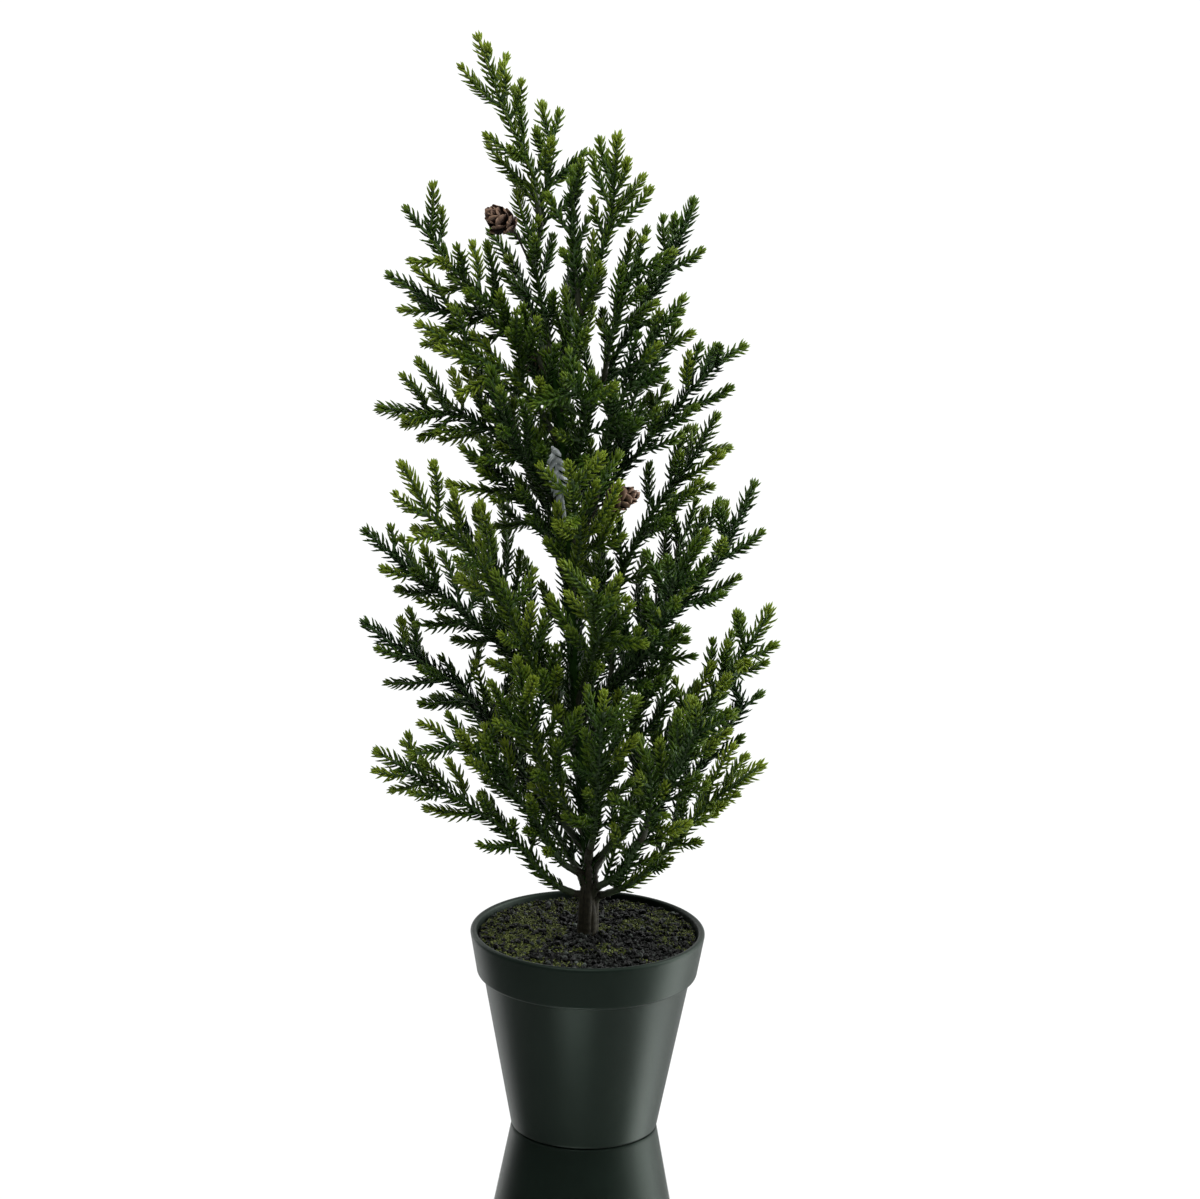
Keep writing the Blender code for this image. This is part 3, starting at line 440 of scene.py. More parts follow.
def build_spray(node, seed, traced, lines, crown):
    """One moulded spray: its stem, side twigs and needles as one mesh."""
    rng = np.random.default_rng(seed)
    traced = traced + [sprig for path, _ in traced for sprig in crown.side_sprigs(path, rng, SIDE_FIRST)]
    parts, shade, kind = [], [], []
    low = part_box(node)[0].z < LOW_LEVEL
    tone = rng.normal(0.0, 1.0)
    for path, is_twig in traced:
        bare = TWIG_BARE
        if not is_twig:
            bare = LOW_STEM_BARE if low else STEM_BARE
            path = np.concatenate([smooth_line(tail(node, path[0], lines) + [path[0]], 3)[:-1], path])
        points, at = resampled(path, STEM_STEP)
        foot, radii = stem_section(is_twig, low, at, bare, rng)
        parts.append(tube_mesh(points, radii))
        count = len(parts[-1][0])
        ring_shade = np.repeat(np.ones(len(at)) if is_twig else np.clip(at / 0.040, 0.0, 1.0), 8)
        shade.append(np.stack([ring_shade, np.full(count, tone), np.zeros(count)], axis=1))
        kind.extend([1] * len(parts[-1][1]))
        scale = 1.0 if is_twig else (1.16 if low else 1.06)
        *where, fresh = needles_along(path, foot, bare, rng, scale)
        widths = NEEDLE_HALF_WIDTH * rng.normal(1.0, 0.07, len(fresh))
        parts.append(needle_mesh(*where, widths))
        # Each needle's tone: the branch's random tone with its painted light and shade, and a small
        # random spread per needle
        light = branch_tone_and_painted_light(node, path, tone, rng) + rng.normal(0, 0.35, len(fresh))
        per_needle = np.repeat(np.stack([fresh, light], axis=1), NEEDLE_CORNERS, axis=0)
        shade.append(np.column_stack([per_needle, np.tile(NEEDLE_ALONG, len(fresh))]))
        kind.extend([0] * len(parts[-1][1]))
    mesh = mesh_of(node + "_sprig", parts)
    mesh.polygons.foreach_set("material_index", kind)
    values = np.concatenate(shade)
    for column, name in enumerate(("fresh", "tone", "along")):
        point_values(mesh, name, values[:, column])
    finished(mesh.name, mesh, [needle_material(), stem_material()], BODY_OF[node], node)


# Materials ------------------------------------------------------------------------------
class Nodes:
    """Short hand for building a material's node tree."""

    def __init__(self, name):
        self.material = bpy.data.materials.new(name)
        self.material.use_nodes = True
        self.tree = self.material.node_tree
        self.shader = self.tree.nodes["Principled BSDF"]

    def node(self, kind, inputs=None, **settings):
        made = self.tree.nodes.new(kind)
        for key, value in settings.items():
            setattr(made, key, value)
        for key, value in (inputs or {}).items():
            if isinstance(value, bpy.types.NodeSocket):
                self.tree.links.new(value, made.inputs[key])
            else:
                made.inputs[key].default_value = value
        return made

    def attribute(self, name):
        return self.node("ShaderNodeAttribute", attribute_name=name).outputs["Fac"]

    def noise(self, scale, detail=3.0, roughness=0.55):
        where = self.node("ShaderNodeTexCoord").outputs["Object"]
        return self.node("ShaderNodeTexNoise", {"Vector": where, "Scale": scale, "Detail": detail,
                                                "Roughness": roughness}).outputs["Fac"]

    def ramp(self, value, stops):
        made = self.node("ShaderNodeValToRGB", {"Fac": value})
        ramp = made.color_ramp
        while len(ramp.elements) < len(stops):
            ramp.elements.new(0.5)
        for element, (position, colour) in zip(ramp.elements, stops):
            element.position = position
            element.color = (*colour, 1.0)
        return made.outputs["Color"]

    def math(self, operation, a, b=0.0, clamp=False):
        return self.node("ShaderNodeMath", {0: a, 1: b}, operation=operation, use_clamp=clamp).outputs[0]

    def mix(self, factor, a, b, blend="MIX"):
        return self.node("ShaderNodeMix", {0: factor, 6: a, 7: b}, data_type="RGBA",
                         blend_type=blend).outputs[2]

    def link(self, socket, value):
        self.tree.links.new(value, self.shader.inputs[socket])

    def set(self, **values):
        """Sets the shader's own sockets; an underscore stands for a space in a socket's name."""
        for key, value in values.items():
            self.shader.inputs[key.replace("_", " ")].default_value = value

    def bump(self, height, strength, distance):
        inputs = {"Height": height, "Strength": strength, "Distance": distance}
        made = self.node("ShaderNodeBump", inputs)
        self.link("Normal", made.outputs["Normal"])


MADE = {}


def once(build):
    """Builds a material the first time it is asked for."""
    def get():
        if build.__name__ not in MADE:
            MADE[build.__name__] = build()
        return MADE[build.__name__]
    return get


@once
def needle_material():
    n = Nodes("moulded_needles")
    # The tone attribute holds each spray's random tone together with painted light and shade: lighter
    # outside, high up and on sprays in front
    tone = n.math("MULTIPLY", n.attribute("tone"), 0.11)
    patch = n.math("MULTIPLY", n.noise(55.0), 0.30)
    fresh = n.math("MULTIPLY", n.attribute("fresh"), 0.30)
    along = n.math("MULTIPLY", n.attribute("along"), 0.12)
    value = n.math("ADD", n.math("ADD", tone, patch), n.math("ADD", fresh, along), clamp=True)
    colour = n.ramp(value, [(0.0, (0.003, 0.014, 0.002)), (0.22, (0.013, 0.040, 0.004)),
                            (0.45, (0.050, 0.100, 0.006)), (0.78, (0.175, 0.240, 0.018))])
    n.link("Base Color", colour)
    n.set(Roughness=0.40, IOR=1.48, Specular_IOR_Level=0.16)
    n.bump(n.noise(900.0, 2.0), 0.25, 0.0002)
    return n.material


@once
def stem_material():
    n = Nodes("moulded_stem")
    grain = n.noise(420.0, 4.0)
    blend = n.math("ADD", n.attribute("fresh"), n.math("MULTIPLY", grain, 0.25), clamp=True)
    colour = n.ramp(blend, [(0.05, (0.030, 0.024, 0.013)), (0.45, (0.022, 0.030, 0.012)),
                            (1.0, (0.040, 0.085, 0.020))])
    n.link("Base Color", colour)
    n.set(Roughness=0.62)
    n.bump(n.noise(1100.0, 3.0), 0.5, 0.0004)
    return n.material


@once
def pot_material():
    n = Nodes("pot_plastic")
    mottle = n.noise(30.0, 4.0)
    n.link("Base Color", n.ramp(mottle, [(0.3, (0.0040, 0.0078, 0.0058)),
                                         (0.7, (0.0060, 0.0110, 0.0082))]))
    n.link("Roughness", n.node("ShaderNodeMapRange", {"Value": n.noise(900.0, 2.0), "To Min": 0.44,
                                                      "To Max": 0.54}).outputs["Result"])
    n.set(Specular_IOR_Level=0.20, Specular_Tint=(0.76, 1.0, 0.82, 1.0))
    n.bump(n.noise(2600.0, 2.0), 0.12, 0.0003)
    return n.material


@once
def soil_material():
    n = Nodes("soil_crumbs")
    n.link("Base Color", n.ramp(n.noise(700.0, 4.0), [(0.3, (0.006, 0.007, 0.006)),
                                                      (0.7, (0.028, 0.030, 0.026))]))
    n.set(Roughness=0.8)
    n.bump(n.noise(1200.0, 4.0), 0.9, 0.0008)
    return n.material


@once
def bark_material():
    n = Nodes("brown_tape")
    n.link("Base Color", n.ramp(n.noise(500.0, 5.0), [(0.25, (0.006, 0.006, 0.003)),
                                                      (0.75, (0.036, 0.032, 0.017))]))
    n.set(Roughness=0.7, Specular_IOR_Level=0.3)
    n.bump(n.noise(1500.0, 4.0), 0.6, 0.0005)
    return n.material


# Camera, light and floor -------------------------------------------------------------------
CAMERA_AT = (0.003, -2.6, 1.06)
CAMERA_LENS = 153.06            # in mm, for a sensor 36 mm wide
CAMERA_DOWN = math.radians(16.33)
CAMERA_ROLL = math.radians(1.18)


def make_camera():
    camera = bpy.data.objects.new("camera", bpy.data.cameras.new("camera"))
    camera.data.sensor_fit = "HORIZONTAL"
    camera.data.sensor_width = 36.0
    camera.data.lens = CAMERA_LENS
    camera.data.clip_end = 20.0
    camera.location = CAMERA_AT
    down = Matrix.Rotation(math.radians(90) - CAMERA_DOWN, 4, "X")
    roll = Matrix.Rotation(CAMERA_ROLL, 4, "Z")
    camera.matrix_world = Matrix.Translation(camera.location) @ down @ roll
    bpy.context.scene.collection.objects.link(camera)
    bpy.context.scene.camera = camera


def area_light(name, location, target, size, energy):
    """A rectangular soft light that faces its target."""
    lamp = bpy.data.lights.new(name, "AREA")
    lamp.shape = "RECTANGLE"
    lamp.size, lamp.size_y = size
    lamp.energy = energy
    holder = bpy.data.objects.new(name, lamp)
    holder.location = location
    aim = Vector(target) - Vector(location)
    holder.rotation_euler = aim.to_track_quat("-Z", "Y").to_euler()
    bpy.context.scene.collection.objects.link(holder)


BRIGHT_SIDE = (0.50, 0.86, 0.0)     # the way the backdrop grows brighter: behind, and to the right
BACKDROP = {"From Min": -0.30, "From Max": 0.62, "To Min": 0.035, "To Max": 1.12}


def make_studio():
    """A backdrop that is white behind and dark in front, three soft lights and a mirror floor."""
    world = bpy.data.worlds.new("studio")
    world.use_nodes = True
    tree = world.node_tree
    where = tree.nodes.new("ShaderNodeTexCoord").outputs["Generated"]
    split = tree.nodes.new("ShaderNodeSeparateXYZ")
    turned = tree.nodes.new("ShaderNodeVectorMath")
    turned.operation = "MULTIPLY"
    turned.inputs[1].default_value = BRIGHT_SIDE
    tree.links.new(where, turned.inputs[0])
    tree.links.new(turned.outputs[0], split.inputs[0])
    both = tree.nodes.new("ShaderNodeMath")
    both.operation = "ADD"
    tree.links.new(split.outputs["X"], both.inputs[0])
    tree.links.new(split.outputs["Y"], both.inputs[1])
    ramp = tree.nodes.new("ShaderNodeMapRange")
    for socket, value in BACKDROP.items():
        ramp.inputs[socket].default_value = value
    tree.links.new(both.outputs[0], ramp.inputs["Value"])
    tree.links.new(ramp.outputs["Result"], tree.nodes["Background"].inputs["Strength"])
    tree.nodes["Background"].inputs["Color"].default_value = (1.0, 1.0, 1.0, 1.0)
    bpy.context.scene.world = world
    bpy.context.scene.view_settings.view_transform = "Standard"
    area_light("right", (1.6, 0.28, 0.8), (0, 0, 0.25), (1.0, 1.5), 40.0)
    area_light("left_back", (-1.1, 1.5, 0.7), (0, 0, 0.3), (0.6, 1.3), 5.0)
    area_light("top", (-0.25, -0.7, 1.8), (0, 0, 0.35), (0.8, 0.8), 23.0)
    bpy.ops.mesh.primitive_plane_add(size=12.0, location=(0, 0, 0))
    floor = bpy.context.object
    floor.name = "floor"
    n = Nodes("floor_acrylic")
    n.set(Roughness=0.04, Metallic=1.0, Base_Color=(0.93, 0.94, 0.94, 1.0))
    floor.data.materials.append(n.material)


# Pot ----------------------------------------------------------------------------------------
POT_EASE = 0.0005               # how far the pot's edges are cut back
POT_STEPS = 180


def pot_outline():
    """The CAD pot's section, walked from the middle of its underside to the middle of its floor."""
    mesh = frame["nodes"]["pot"].data
    corner = {}
    for v in mesh.vertices:
        radius, turn = math.hypot(v.co.x, v.co.y), math.atan2(v.co.y, v.co.x)
        corner[v.index] = (round(radius, 5), round(v.co.z, 5), round(turn, 3) if radius > 1e-5 else None)
    first = next(c[2] for c in corner.values() if c[0] > 0.01)
    near = {}
    for edge in mesh.edges:
        a, b = (corner[i] for i in edge.vertices)
        if a[2] in (first, None) and b[2] in (first, None) and a != b:
            near.setdefault(a, set()).add(b)
            near.setdefault(b, set()).add(a)
    here = min(near, key=lambda c: (c[1], c[0]))
    path, seen = [here], {here}
    while True:
        ahead = [c for c in near[path[-1]] if c not in seen]
        if not ahead:
            break
        path.append(min(ahead, key=lambda c: math.dist(c[:2], path[-1][:2])))
        seen.add(path[-1])
    return [c[:2] for c in path]


def eased(outline, reach):
    """The outline with each corner cut back by at most the reach, twice."""
    for cut in (reach, reach / 3):
        out = [outline[0]]
        for a, b in zip(outline, outline[1:]):
            a, b = Vector(a), Vector(b)
            span = (b - a).length
            step = min(cut, span * 0.3) / max(span, 1e-9)
            out += [tuple(a.lerp(b, step)), tuple(a.lerp(b, 1 - step))]
        outline = out + [outline[-1]]
    return outline


def lathe(name, outline, steps, material, body, node=None):
    """A closed turned solid; the outline starts and ends on the axis."""
    inner = [point for point in outline if point[0] > 1e-5]
    vertices = [(0.0, 0.0, outline[0][1])]
    for radius, height in inner:
        for k in range(steps):
            turn = 2 * math.pi * k / steps
            vertices.append((radius * math.cos(turn), radius * math.sin(turn), height))
    vertices.append((0.0, 0.0, outline[-1][1]))
    last = len(vertices) - 1
    faces = [(0, 1 + (k + 1) % steps, 1 + k) for k in range(steps)]
    for i in range(len(inner) - 1):
        for k in range(steps):
            a, b = 1 + i * steps + k, 1 + i * steps + (k + 1) % steps
            faces.append((a, b, b + steps, a + steps))
    low = 1 + (len(inner) - 1) * steps
    faces += [(last, low + k, low + (k + 1) % steps) for k in range(steps)]
    mesh = bpy.data.meshes.new(name)
    mesh.from_pydata(vertices, [], faces)
    return finished(name, mesh, [material], body, node)


def finished(name, mesh, materials, body, node=None, smooth=True):
    """Links the piece, hangs it on its body and hides the CAD node it stands for."""
    for material in materials:
        mesh.materials.append(material)
    mesh.polygons.foreach_set("use_smooth", [smooth] * len(mesh.polygons))
    mesh.update()
    piece = bpy.data.objects.new(name, mesh)
    bpy.context.scene.collection.objects.link(piece)
    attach(piece, body)
    if node:
        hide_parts(node)
    return piece


# Soil ----------------------------------------------------------------------------------------
CRUMBS = 6500
MOSS_FLAKES = 8500
CRUMB_SIZE = 0.00072
CRUMB_LARGEST = 0.0019
CRUMB_EDGE = 0.0012            # kept clear round the rim of the soil
CRUMB_HEAP = 0.0026            # how far crumbs may stand over the soil
FLAKE_SIZES = ((0.8, 1.5), (0.25, 0.4), (0.2, 0.35))    # length, width and thickness in mm


def soil_surface():
    """The CAD soil, to drop crumbs on."""
    mesh = frame["nodes"]["soil_disc"].data
    faces = [tuple(face.vertices) for face in mesh.polygons]
    return BVHTree.FromPolygons([v.co for v in mesh.vertices], faces)


def moss_share(x, y, radius):
    """How mossy the soil is at a place: thick to the left, at the back and at the far right."""
    turn = math.atan2(y, x)
    out = math.hypot(x, y) / radius
    left = math.exp(-((abs(turn) - math.pi) / 0.75) ** 2) * min(out * 1.8, 1.0)
    back_left = math.exp(-((turn - 2.3) / 0.5) ** 2) * min(out * 1.4, 1.0) * 0.8
    right = math.exp(-((turn - 0.35) / 0.55) ** 2) * min(out * 1.3, 1.0) * 0.9
    patches = noise.noise(Vector((x * 55, y * 55, 3.1))) * 0.9
    grain = patches + noise.noise(Vector((x * 150, y * 150, 7.7))) * 0.5
    return max(left, back_left, right) + grain * 0.75 - 0.14


def build_soil():
    """Loose dark crumbs with moss flakes over the CAD soil."""
    rng = np.random.default_rng(77)
    surface = soil_surface()
    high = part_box("soil_disc")[1]
    radius = high.x - CRUMB_EDGE
    base = bmesh.new()
    bmesh.ops.create_icosphere(base, subdivisions=1, radius=1.0)
    shape = np.array([v.co for v in base.verts])
    pattern = [tuple(v.index for v in f.verts) for f in base.faces]
    base.free()
    parts, moss, shade = [], [], []
    while len(parts) < CRUMBS + MOSS_FLAKES:
        mossy = len(parts) >= CRUMBS
        x, y = rng.uniform(-radius, radius, 2)
        if math.hypot(x, y) > radius:
            continue
        share = moss_share(x, y, radius)
        if mossy and share < rng.uniform(0.0, 0.35):
            continue
        hit = surface.ray_cast(Vector((x, y, high.z + 0.02)), Vector((0, 0, -1)))
        if hit[0] is None:
            continue
        if mossy:
            size = np.array([rng.uniform(*span) for span in FLAKE_SIZES]) * 0.001
            lift = rng.uniform(0.3, 1.3) * 0.001
        else:
            size = rng.lognormal(math.log(CRUMB_SIZE), 0.42) * rng.uniform(0.6, 1.35, 3)
            size = np.minimum(size, CRUMB_LARGEST)
            lift = size[2] * rng.uniform(-0.2, 1.3)
        angle = rng.uniform(0, 6.28)
        spin = np.array(Matrix.Rotation(angle, 3, Vector(rng.normal(0, 1, 3)).normalized()))
        lumps = shape * (1 + rng.normal(0, 0.16, (len(shape), 1)))
        points = (lumps * size) @ spin.T + np.array([x, y, hit[0].z + lift])
        points[:, 2] = np.minimum(points[:, 2], high.z + CRUMB_HEAP)
        parts.append((points, pattern))
        moss.append(np.full(len(shape), 1.0 if mossy else 0.0))
        shade.append(np.full(len(shape), rng.uniform(0, 1)))
    mesh = mesh_of("soil_crumbs", parts)
    point_values(mesh, "moss", np.concatenate(moss))
    point_values(mesh, "shade", np.concatenate(shade))
    finished("soil_crumbs", mesh, [crumb_material()], "root", smooth=False)


@once
def crumb_material():
    n = Nodes("crumbs_and_moss")
    # Crumb colour: near-black soil, with painted highlights on the lightest crumbs, about one in six
    # picked at random
    dark = n.ramp(n.attribute("shade"), [(0.0, (0.0004, 0.0006, 0.0005)),
                                         (0.82, (0.0016, 0.0024, 0.0018)), (1.0, (0.050, 0.060, 0.052))])
    green = n.ramp(n.attribute("shade"), [(0.0, (0.012, 0.020, 0.003)), (0.6, (0.078, 0.098, 0.018)),
                                          (1.0, (0.230, 0.260, 0.085))])
    n.link("Base Color", n.mix(n.attribute("moss"), dark, green))
    n.set(Roughness=0.50, Specular_IOR_Level=0.14)
    n.bump(n.noise(2200.0, 3.0), 0.5, 0.0003)
    return n.material


# Trunk ---------------------------------------------------------------------------------------
TRUNK_BARE = 0.024             # height over the soil at which the trunk's own needles begin
TRUNK_NEEDLE_SEAT = 0.0048     # radius from which they grow
TRUNK_FIRST_SPRIG = 0.020
TRUNK_SECTION = (0.0029, 0.0020)
WRAP_STEP = (0.00014, 0.0065)  # height and width of one turn of the paper wrap
SOIL_DEPTH = 0.0015            # how far under the top of the soil the bundle starts
BUNDLE_TOP = 0.050             # boughs that leave the trunk below this height are in the bundle
BUNDLE_RING = 0.0034
BUNDLE_STRAND = 0.0025
POSTS = 3                      # plain strands between the boughs' strands
POST_LINE = ((0.0028, -0.002), (0.0026, 0.018), (0.0006, 0.034))   # distance out, height over the soil
POST_RADIUS = 0.0026


def ring_point(middle, turn, out, height):
    """A point at a turn and a distance round a middle, at a height."""
    return np.array([middle[0] + math.cos(turn) * out, middle[1] + math.sin(turn) * out, height])


def bundle_route(foot, root, heading, soil):
    """From the soil up the taped bundle and out to the root of a low bough."""
    turn = math.atan2(root[1] - foot[1], root[0] - foot[0])
    ring = Vector(ring_point(foot, turn, BUNDLE_RING, soil - 0.002))
    root, heading = Vector(root), Vector(heading).normalized()
    below = Vector((ring.x, ring.y, max(soil + 0.004, root.z - 0.016)))
    controls = [ring, Vector((ring.x, ring.y, (ring.z + below.z) / 2)), below, root - heading * 0.004,
                root + heading * 0.004]
    return smooth_line([np.array(c) for c in controls], 6)


def smooth_line(points, per_span):
    """A curve through the points."""
    ends = [points[0] * 2 - points[1]] + list(points) + [points[-1] * 2 - points[-2]]
    route = []
    for i in range(1, len(ends) - 2):
        a, b, c, d = ends[i - 1:i + 3]
        for step in range(per_span):
            t = step / per_span
            route.append(0.5 * (2 * b + (c - a) * t + (2 * a - 5 * b + 4 * c - d) * t * t
                                + (3 * b - a - 3 * c + d) * t ** 3))
    route.append(points[-1])
    return np.array(route)


def build_trunk(lines, crown):
    """The taped bundle of bough stems at the foot, and the wrapped rod above it."""
    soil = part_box("soil_disc")[1].z - SOIL_DEPTH
    rod = lines["trunk_rod"]
    foot = rod[np.abs(rod[:, 2] - soil).argmin()]
    parts = []
    for node in SPRAYS:
        path = lines[node]
        if path[0][2] > soil + BUNDLE_TOP or BODY_OF[node] == "root":
            continue
        route = bundle_route(foot, path[0], path[4] - path[0], soil)
        route, at = resampled(route, BARK_STEP)
        ridges = 0.00012 * np.sin(at / 0.0035 * 2 * math.pi)
        radii = BUNDLE_STRAND * (1.0 - 0.16 * at / at[-1]) + ridges
        parts.append(tube_mesh(route, radii, 12))
    for k in range(POSTS):
        post = [ring_point(foot, k * 2.1 + 0.4, out, soil + height) for out, height in POST_LINE]
        route, at = resampled(smooth_line(post, 8), BARK_STEP)
        parts.append(tube_mesh(route, POST_RADIUS * (1 - 0.3 * at / at[-1]), 12))
    finished("trunk_bundle", mesh_of("trunk_bundle", parts), [bark_material()], "root", "trunk_tape")
    buried = rod[:, 2] <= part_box("foam_disc")[1].z
    route, at = resampled(rod[~buried], BARK_STEP)
    height, width = WRAP_STEP
    foot_radius, top_radius = TRUNK_SECTION
    radii = foot_radius - (foot_radius - top_radius) * at / at[-1] + height * (at / width % 1.0)
    parts = [tube_mesh(route, radii, 14)]
    if buried.sum() > 2:
        route, at = resampled(rod[buried], 0.003)
        parts.append(tube_mesh(route, np.full(len(at), 0.0021), 14))
    finished("trunk_wrap", mesh_of("trunk_wrap", parts), [bark_material()], "root", "trunk_rod")
    upper = rod[rod[:, 2] > soil + TRUNK_BARE]
    sprigs = crown.side_sprigs(upper, np.random.default_rng(43), TRUNK_FIRST_SPRIG)
    build_needles("trunk_needles", [(upper, TRUNK_NEEDLE_SEAT)] + [(path, 0.0010) for path, _ in sprigs])


def build_needles(name, stems):
    """Needles of the spray that the trunk itself carries between its boughs."""
    rng = np.random.default_rng(41)
    parts, freshness = [], []
    for path, radius in stems:
        points, _ = resampled(path, STEM_STEP)
        parts.append(tube_mesh(points, np.full(len(points), radius * 0.7)))
        freshness.append(np.zeros(len(parts[-1][0])))
        *where, fresh = needles_along(path, radius, 0.001, rng, 1.12)
        parts.append(needle_mesh(*where, NEEDLE_HALF_WIDTH * rng.normal(1.0, 0.07, len(fresh))))
        freshness.append(np.repeat(fresh, NEEDLE_CORNERS))
    freshness = np.concatenate(freshness)
    mesh = mesh_of(name, parts)
    point_values(mesh, "fresh", freshness)
    point_values(mesh, "tone", np.full(len(freshness), 0.1))
    point_values(mesh, "along", freshness * 0.5)
    finished(name, mesh, [needle_material()], "root")


# Cones ---------------------------------------------------------------------------------------
CONE_SCALES = 24
SCALE_GRID = (7, 7)            # points along and across one scale
SCALE_HALF = 0.00016           # half its thickness
GOLDEN_TURN = 2.39996
CONE_SWELL = 1.30              # open scales stand out beyond the plain cone


def cone_axis(node):
    """Foot, direction and length of a CAD cone; the foot is the end its wire comes to."""
    points = np.array([v.co for v in frame["nodes"][node].data.vertices])
    middle = points.mean(0)
    _, _, rows = np.linalg.svd(points - middle)
    direction = rows[0]
    wire = np.array([v.co for v in frame["nodes"][node.replace("cone_", "cone_wire_")].data.vertices])
    reach = (points - middle) @ direction
    ends = [middle + direction * reach.min(), middle + direction * reach.max()]
    gaps = [np.linalg.norm(wire - end, axis=1).min() for end in ends]
    foot, tip = (ends[0], ends[1]) if gaps[0] < gaps[1] else (ends[1], ends[0])
    return foot, (tip - foot) / np.linalg.norm(tip - foot), np.linalg.norm(tip - foot)


def build_cone(node, seed):
    """Open woody scales in a spiral round a core."""
    rng = np.random.default_rng(seed)
    foot, direction, length = cone_axis(node)
    foot = foot - direction * length * (CONE_SWELL - 1) / 2
    length *= CONE_SWELL
    turn = Vector((0, 0, 1)).rotation_difference(Vector(direction)).to_matrix()
    vertices, faces, edge = [], [], []
    rows, columns = SCALE_GRID
    for i in range(CONE_SCALES):
        t = (i + 0.5) / CONE_SCALES
        height = length * (0.04 + 0.60 * t)
        open_angle = math.radians(76 - 58 * t ** 0.9) + rng.normal(0, 0.07)
        size = length * (0.34 + 0.10 * math.sin(math.pi * min(t * 1.2, 1.0))) * (1 - 0.15 * t ** 3)
        spin = Matrix.Rotation(i * GOLDEN_TURN + rng.normal(0, 0.05), 3, "Z")
        offset = len(vertices)
        for side in (1, -1):
            for r in range(rows):
                u = r / (rows - 1)
                half = size * 0.40 * math.sin(math.pi * (0.14 + 0.80 * u ** 1.2)) ** 0.6
                for c in range(columns):
                    v = c / (columns - 1) * 2 - 1
                    curl = 0.35 * u * u
                    out = size * (u - 0.22 * v * v * u * u)
                    cup = size * 0.16 * v * v * (1 - 0.4 * u)
                    x = out * math.sin(open_angle - curl) + 0.0007
                    z = out * math.cos(open_angle - curl) + cup - side * SCALE_HALF * (1 - 0.6 * u)
                    point = spin @ Vector((x, half * v, z))
                    vertices.append(Vector(foot) + turn @ (point + Vector((0, 0, height))))
                    edge.append(max(0.0, (u - 0.62) / 0.38) * 0.9 + abs(v) ** 4 * 0.5 * u)
        plate = rows * columns
        for r in range(rows - 1):
            for c in range(columns - 1):
                a = offset + r * columns + c
                faces.append((a, a + 1, a + columns + 1, a + columns))
                b = a + plate
                faces.append((b, b + columns, b + columns + 1, b + 1))
        ring = ([r * columns for r in range(rows)]
                + [(rows - 1) * columns + c for c in range(1, columns)]
                + [r * columns + columns - 1 for r in range(rows - 2, -1, -1)]
                + [c for c in range(columns - 2, 0, -1)])
        for a, b in zip(ring, ring[1:] + ring[:1]):
            faces.append((offset + a, offset + b, offset + b + plate, offset + a + plate))
    core = [Vector(foot) + Vector(direction) * (length * s) for s in (0.0, 0.3, 0.6, 0.86)]
    v, f = tube_mesh(np.array(core), np.array([0.0016, 0.0024, 0.0018, 0.0006]), 10)
    offset = len(vertices)
    vertices += [Vector(p) for p in v]
    edge += [0.0] * len(v)
    faces += [tuple(i + offset for i in face) for face in f]
    mesh = bpy.data.meshes.new(node + "_scales")
    mesh.from_pydata([tuple(v) for v in vertices], [], faces)
    point_values(mesh, "edge", edge)
    finished(node + "_scales", mesh, [cone_material()], BODY_OF[node], node)


@once
def cone_material():
    n = Nodes("cone_scales")
    grain = n.math("MULTIPLY", n.noise(600.0, 4.0), 0.5)
    value = n.math("ADD", n.attribute("edge"), grain, clamp=True)
    n.link("Base Color", n.ramp(value, [(0.15, (0.018, 0.009, 0.006)), (0.55, (0.070, 0.034, 0.020)),
                                        (1.0, (0.230, 0.140, 0.090))]))
    n.set(Roughness=0.6)
    n.bump(n.noise(1500.0, 4.0), 0.5, 0.0003)
    return n.material


@once
def pale_material():
    n = Nodes("pale_plastic")
    n.link("Base Color", n.ramp(n.noise(300.0), [(0.2, (0.36, 0.40, 0.42)), (0.8, (0.60, 0.65, 0.66))]))
    n.set(Roughness=0.5)
    return n.material


PALE_LENGTH = 0.034            # of the part that has teeth
PALE_TEETH = 6                 # on each side
TOOTH_LENGTH = 0.0090
TOOTH_HALF_WIDTH = 0.0019


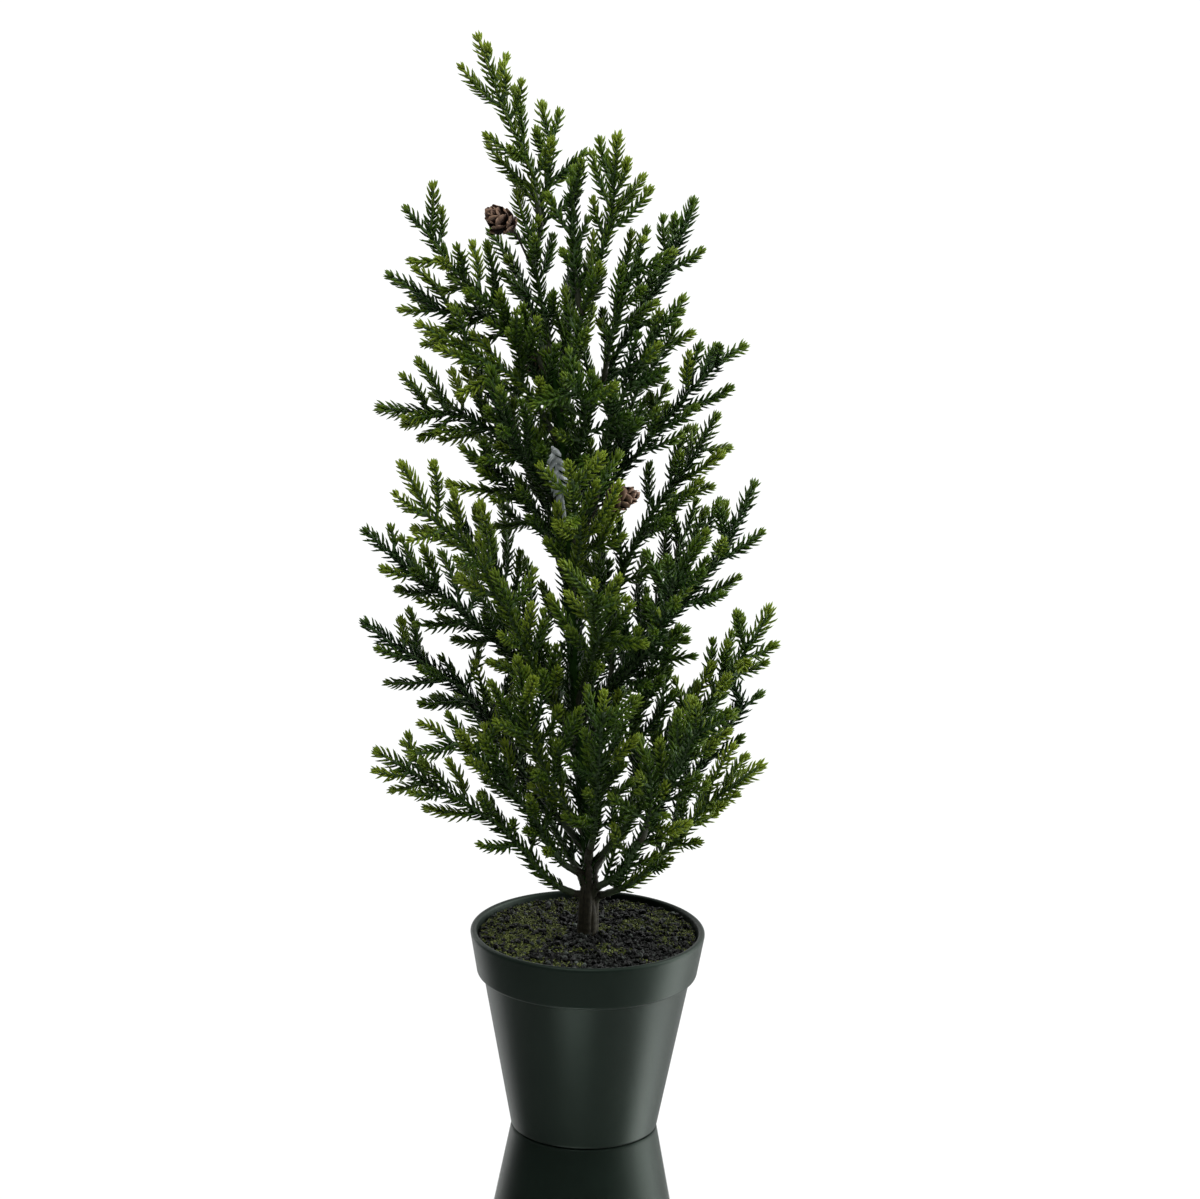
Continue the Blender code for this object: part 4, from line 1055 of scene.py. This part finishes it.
def build_pale_twig(line):
    """A flat unpainted sprig whose teeth lie in one plane and point down."""
    points, at = resampled(line, 0.0015)
    parts = [tube_mesh(points, 0.0013 - 0.0006 * at / at[-1])]
    points = points[::-1] if points[0][2] < points[-1][2] else points
    drop = points[points[:, 2] > points[0][2] - PALE_LENGTH]
    tangents, _ = carried_frames(drop)
    side = np.cross(tangents, np.array([0.15, -1.0, 0.0]))
    side /= np.linalg.norm(side, axis=1)[:, None]
    bases, ways, outs, lengths = [], [], [], []
    for k in range(PALE_TEETH * 2):
        share = (k // 2 + 0.5 * (k % 2) + 0.4) / (PALE_TEETH + 0.6)
        i = min(int(share * (len(drop) - 1)), len(drop) - 1)
        bases.append(drop[i])
        ways.append(tangents[i])
        outs.append(side[i] * (1 if k % 2 else -1))
        lengths.append(TOOTH_LENGTH * (0.62 + 0.55 * math.sin(math.pi * share ** 0.8)))
    count = len(bases)
    parts.append(needle_mesh(np.array(bases), np.array(ways), np.array(outs), np.array(lengths),
                             np.full(count, 0.72), np.full(count, 0.35),
                             np.full(count, TOOTH_HALF_WIDTH)))
    mesh = mesh_of("pale_twig_sprig", parts)
    finished(mesh.name, mesh, [pale_material()], BODY_OF["pale_twig"], "pale_twig")


# The whole tree ------------------------------------------------------------------------
LOW_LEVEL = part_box("soil_disc")[1].z + 0.055    # sprays that start below this are the low boughs

make_camera()
make_studio()
lathe("pot_shell", eased(pot_outline(), POT_EASE), POT_STEPS, pot_material(), "root", "pot")
build_soil()
traces = {node: branches(node) for node in SPRAYS + ["trunk_rod", "pale_twig"]}
lines = {node: traced[0][0] for node, traced in traces.items()}
crown = Crown(traces, lines["trunk_rod"])
for number, spray in enumerate(SPRAYS):
    build_spray(spray, 1000 + number, traces[spray], lines, crown)
build_trunk(lines, crown)
build_pale_twig(lines["pale_twig"])
for number, node in enumerate(sorted(n for n, slot in SLOT_OF.items() if slot == "cone")):
    build_cone(node, 300 + number)
for node, material in (("soil_disc", soil_material()), ("cone_wire_upper", bark_material()),
                       ("cone_wire_middle", bark_material()), ("cone_wire_lower", bark_material())):
    holder = frame["nodes"][node]
    holder.data.materials.clear()
    holder.data.materials.append(material)
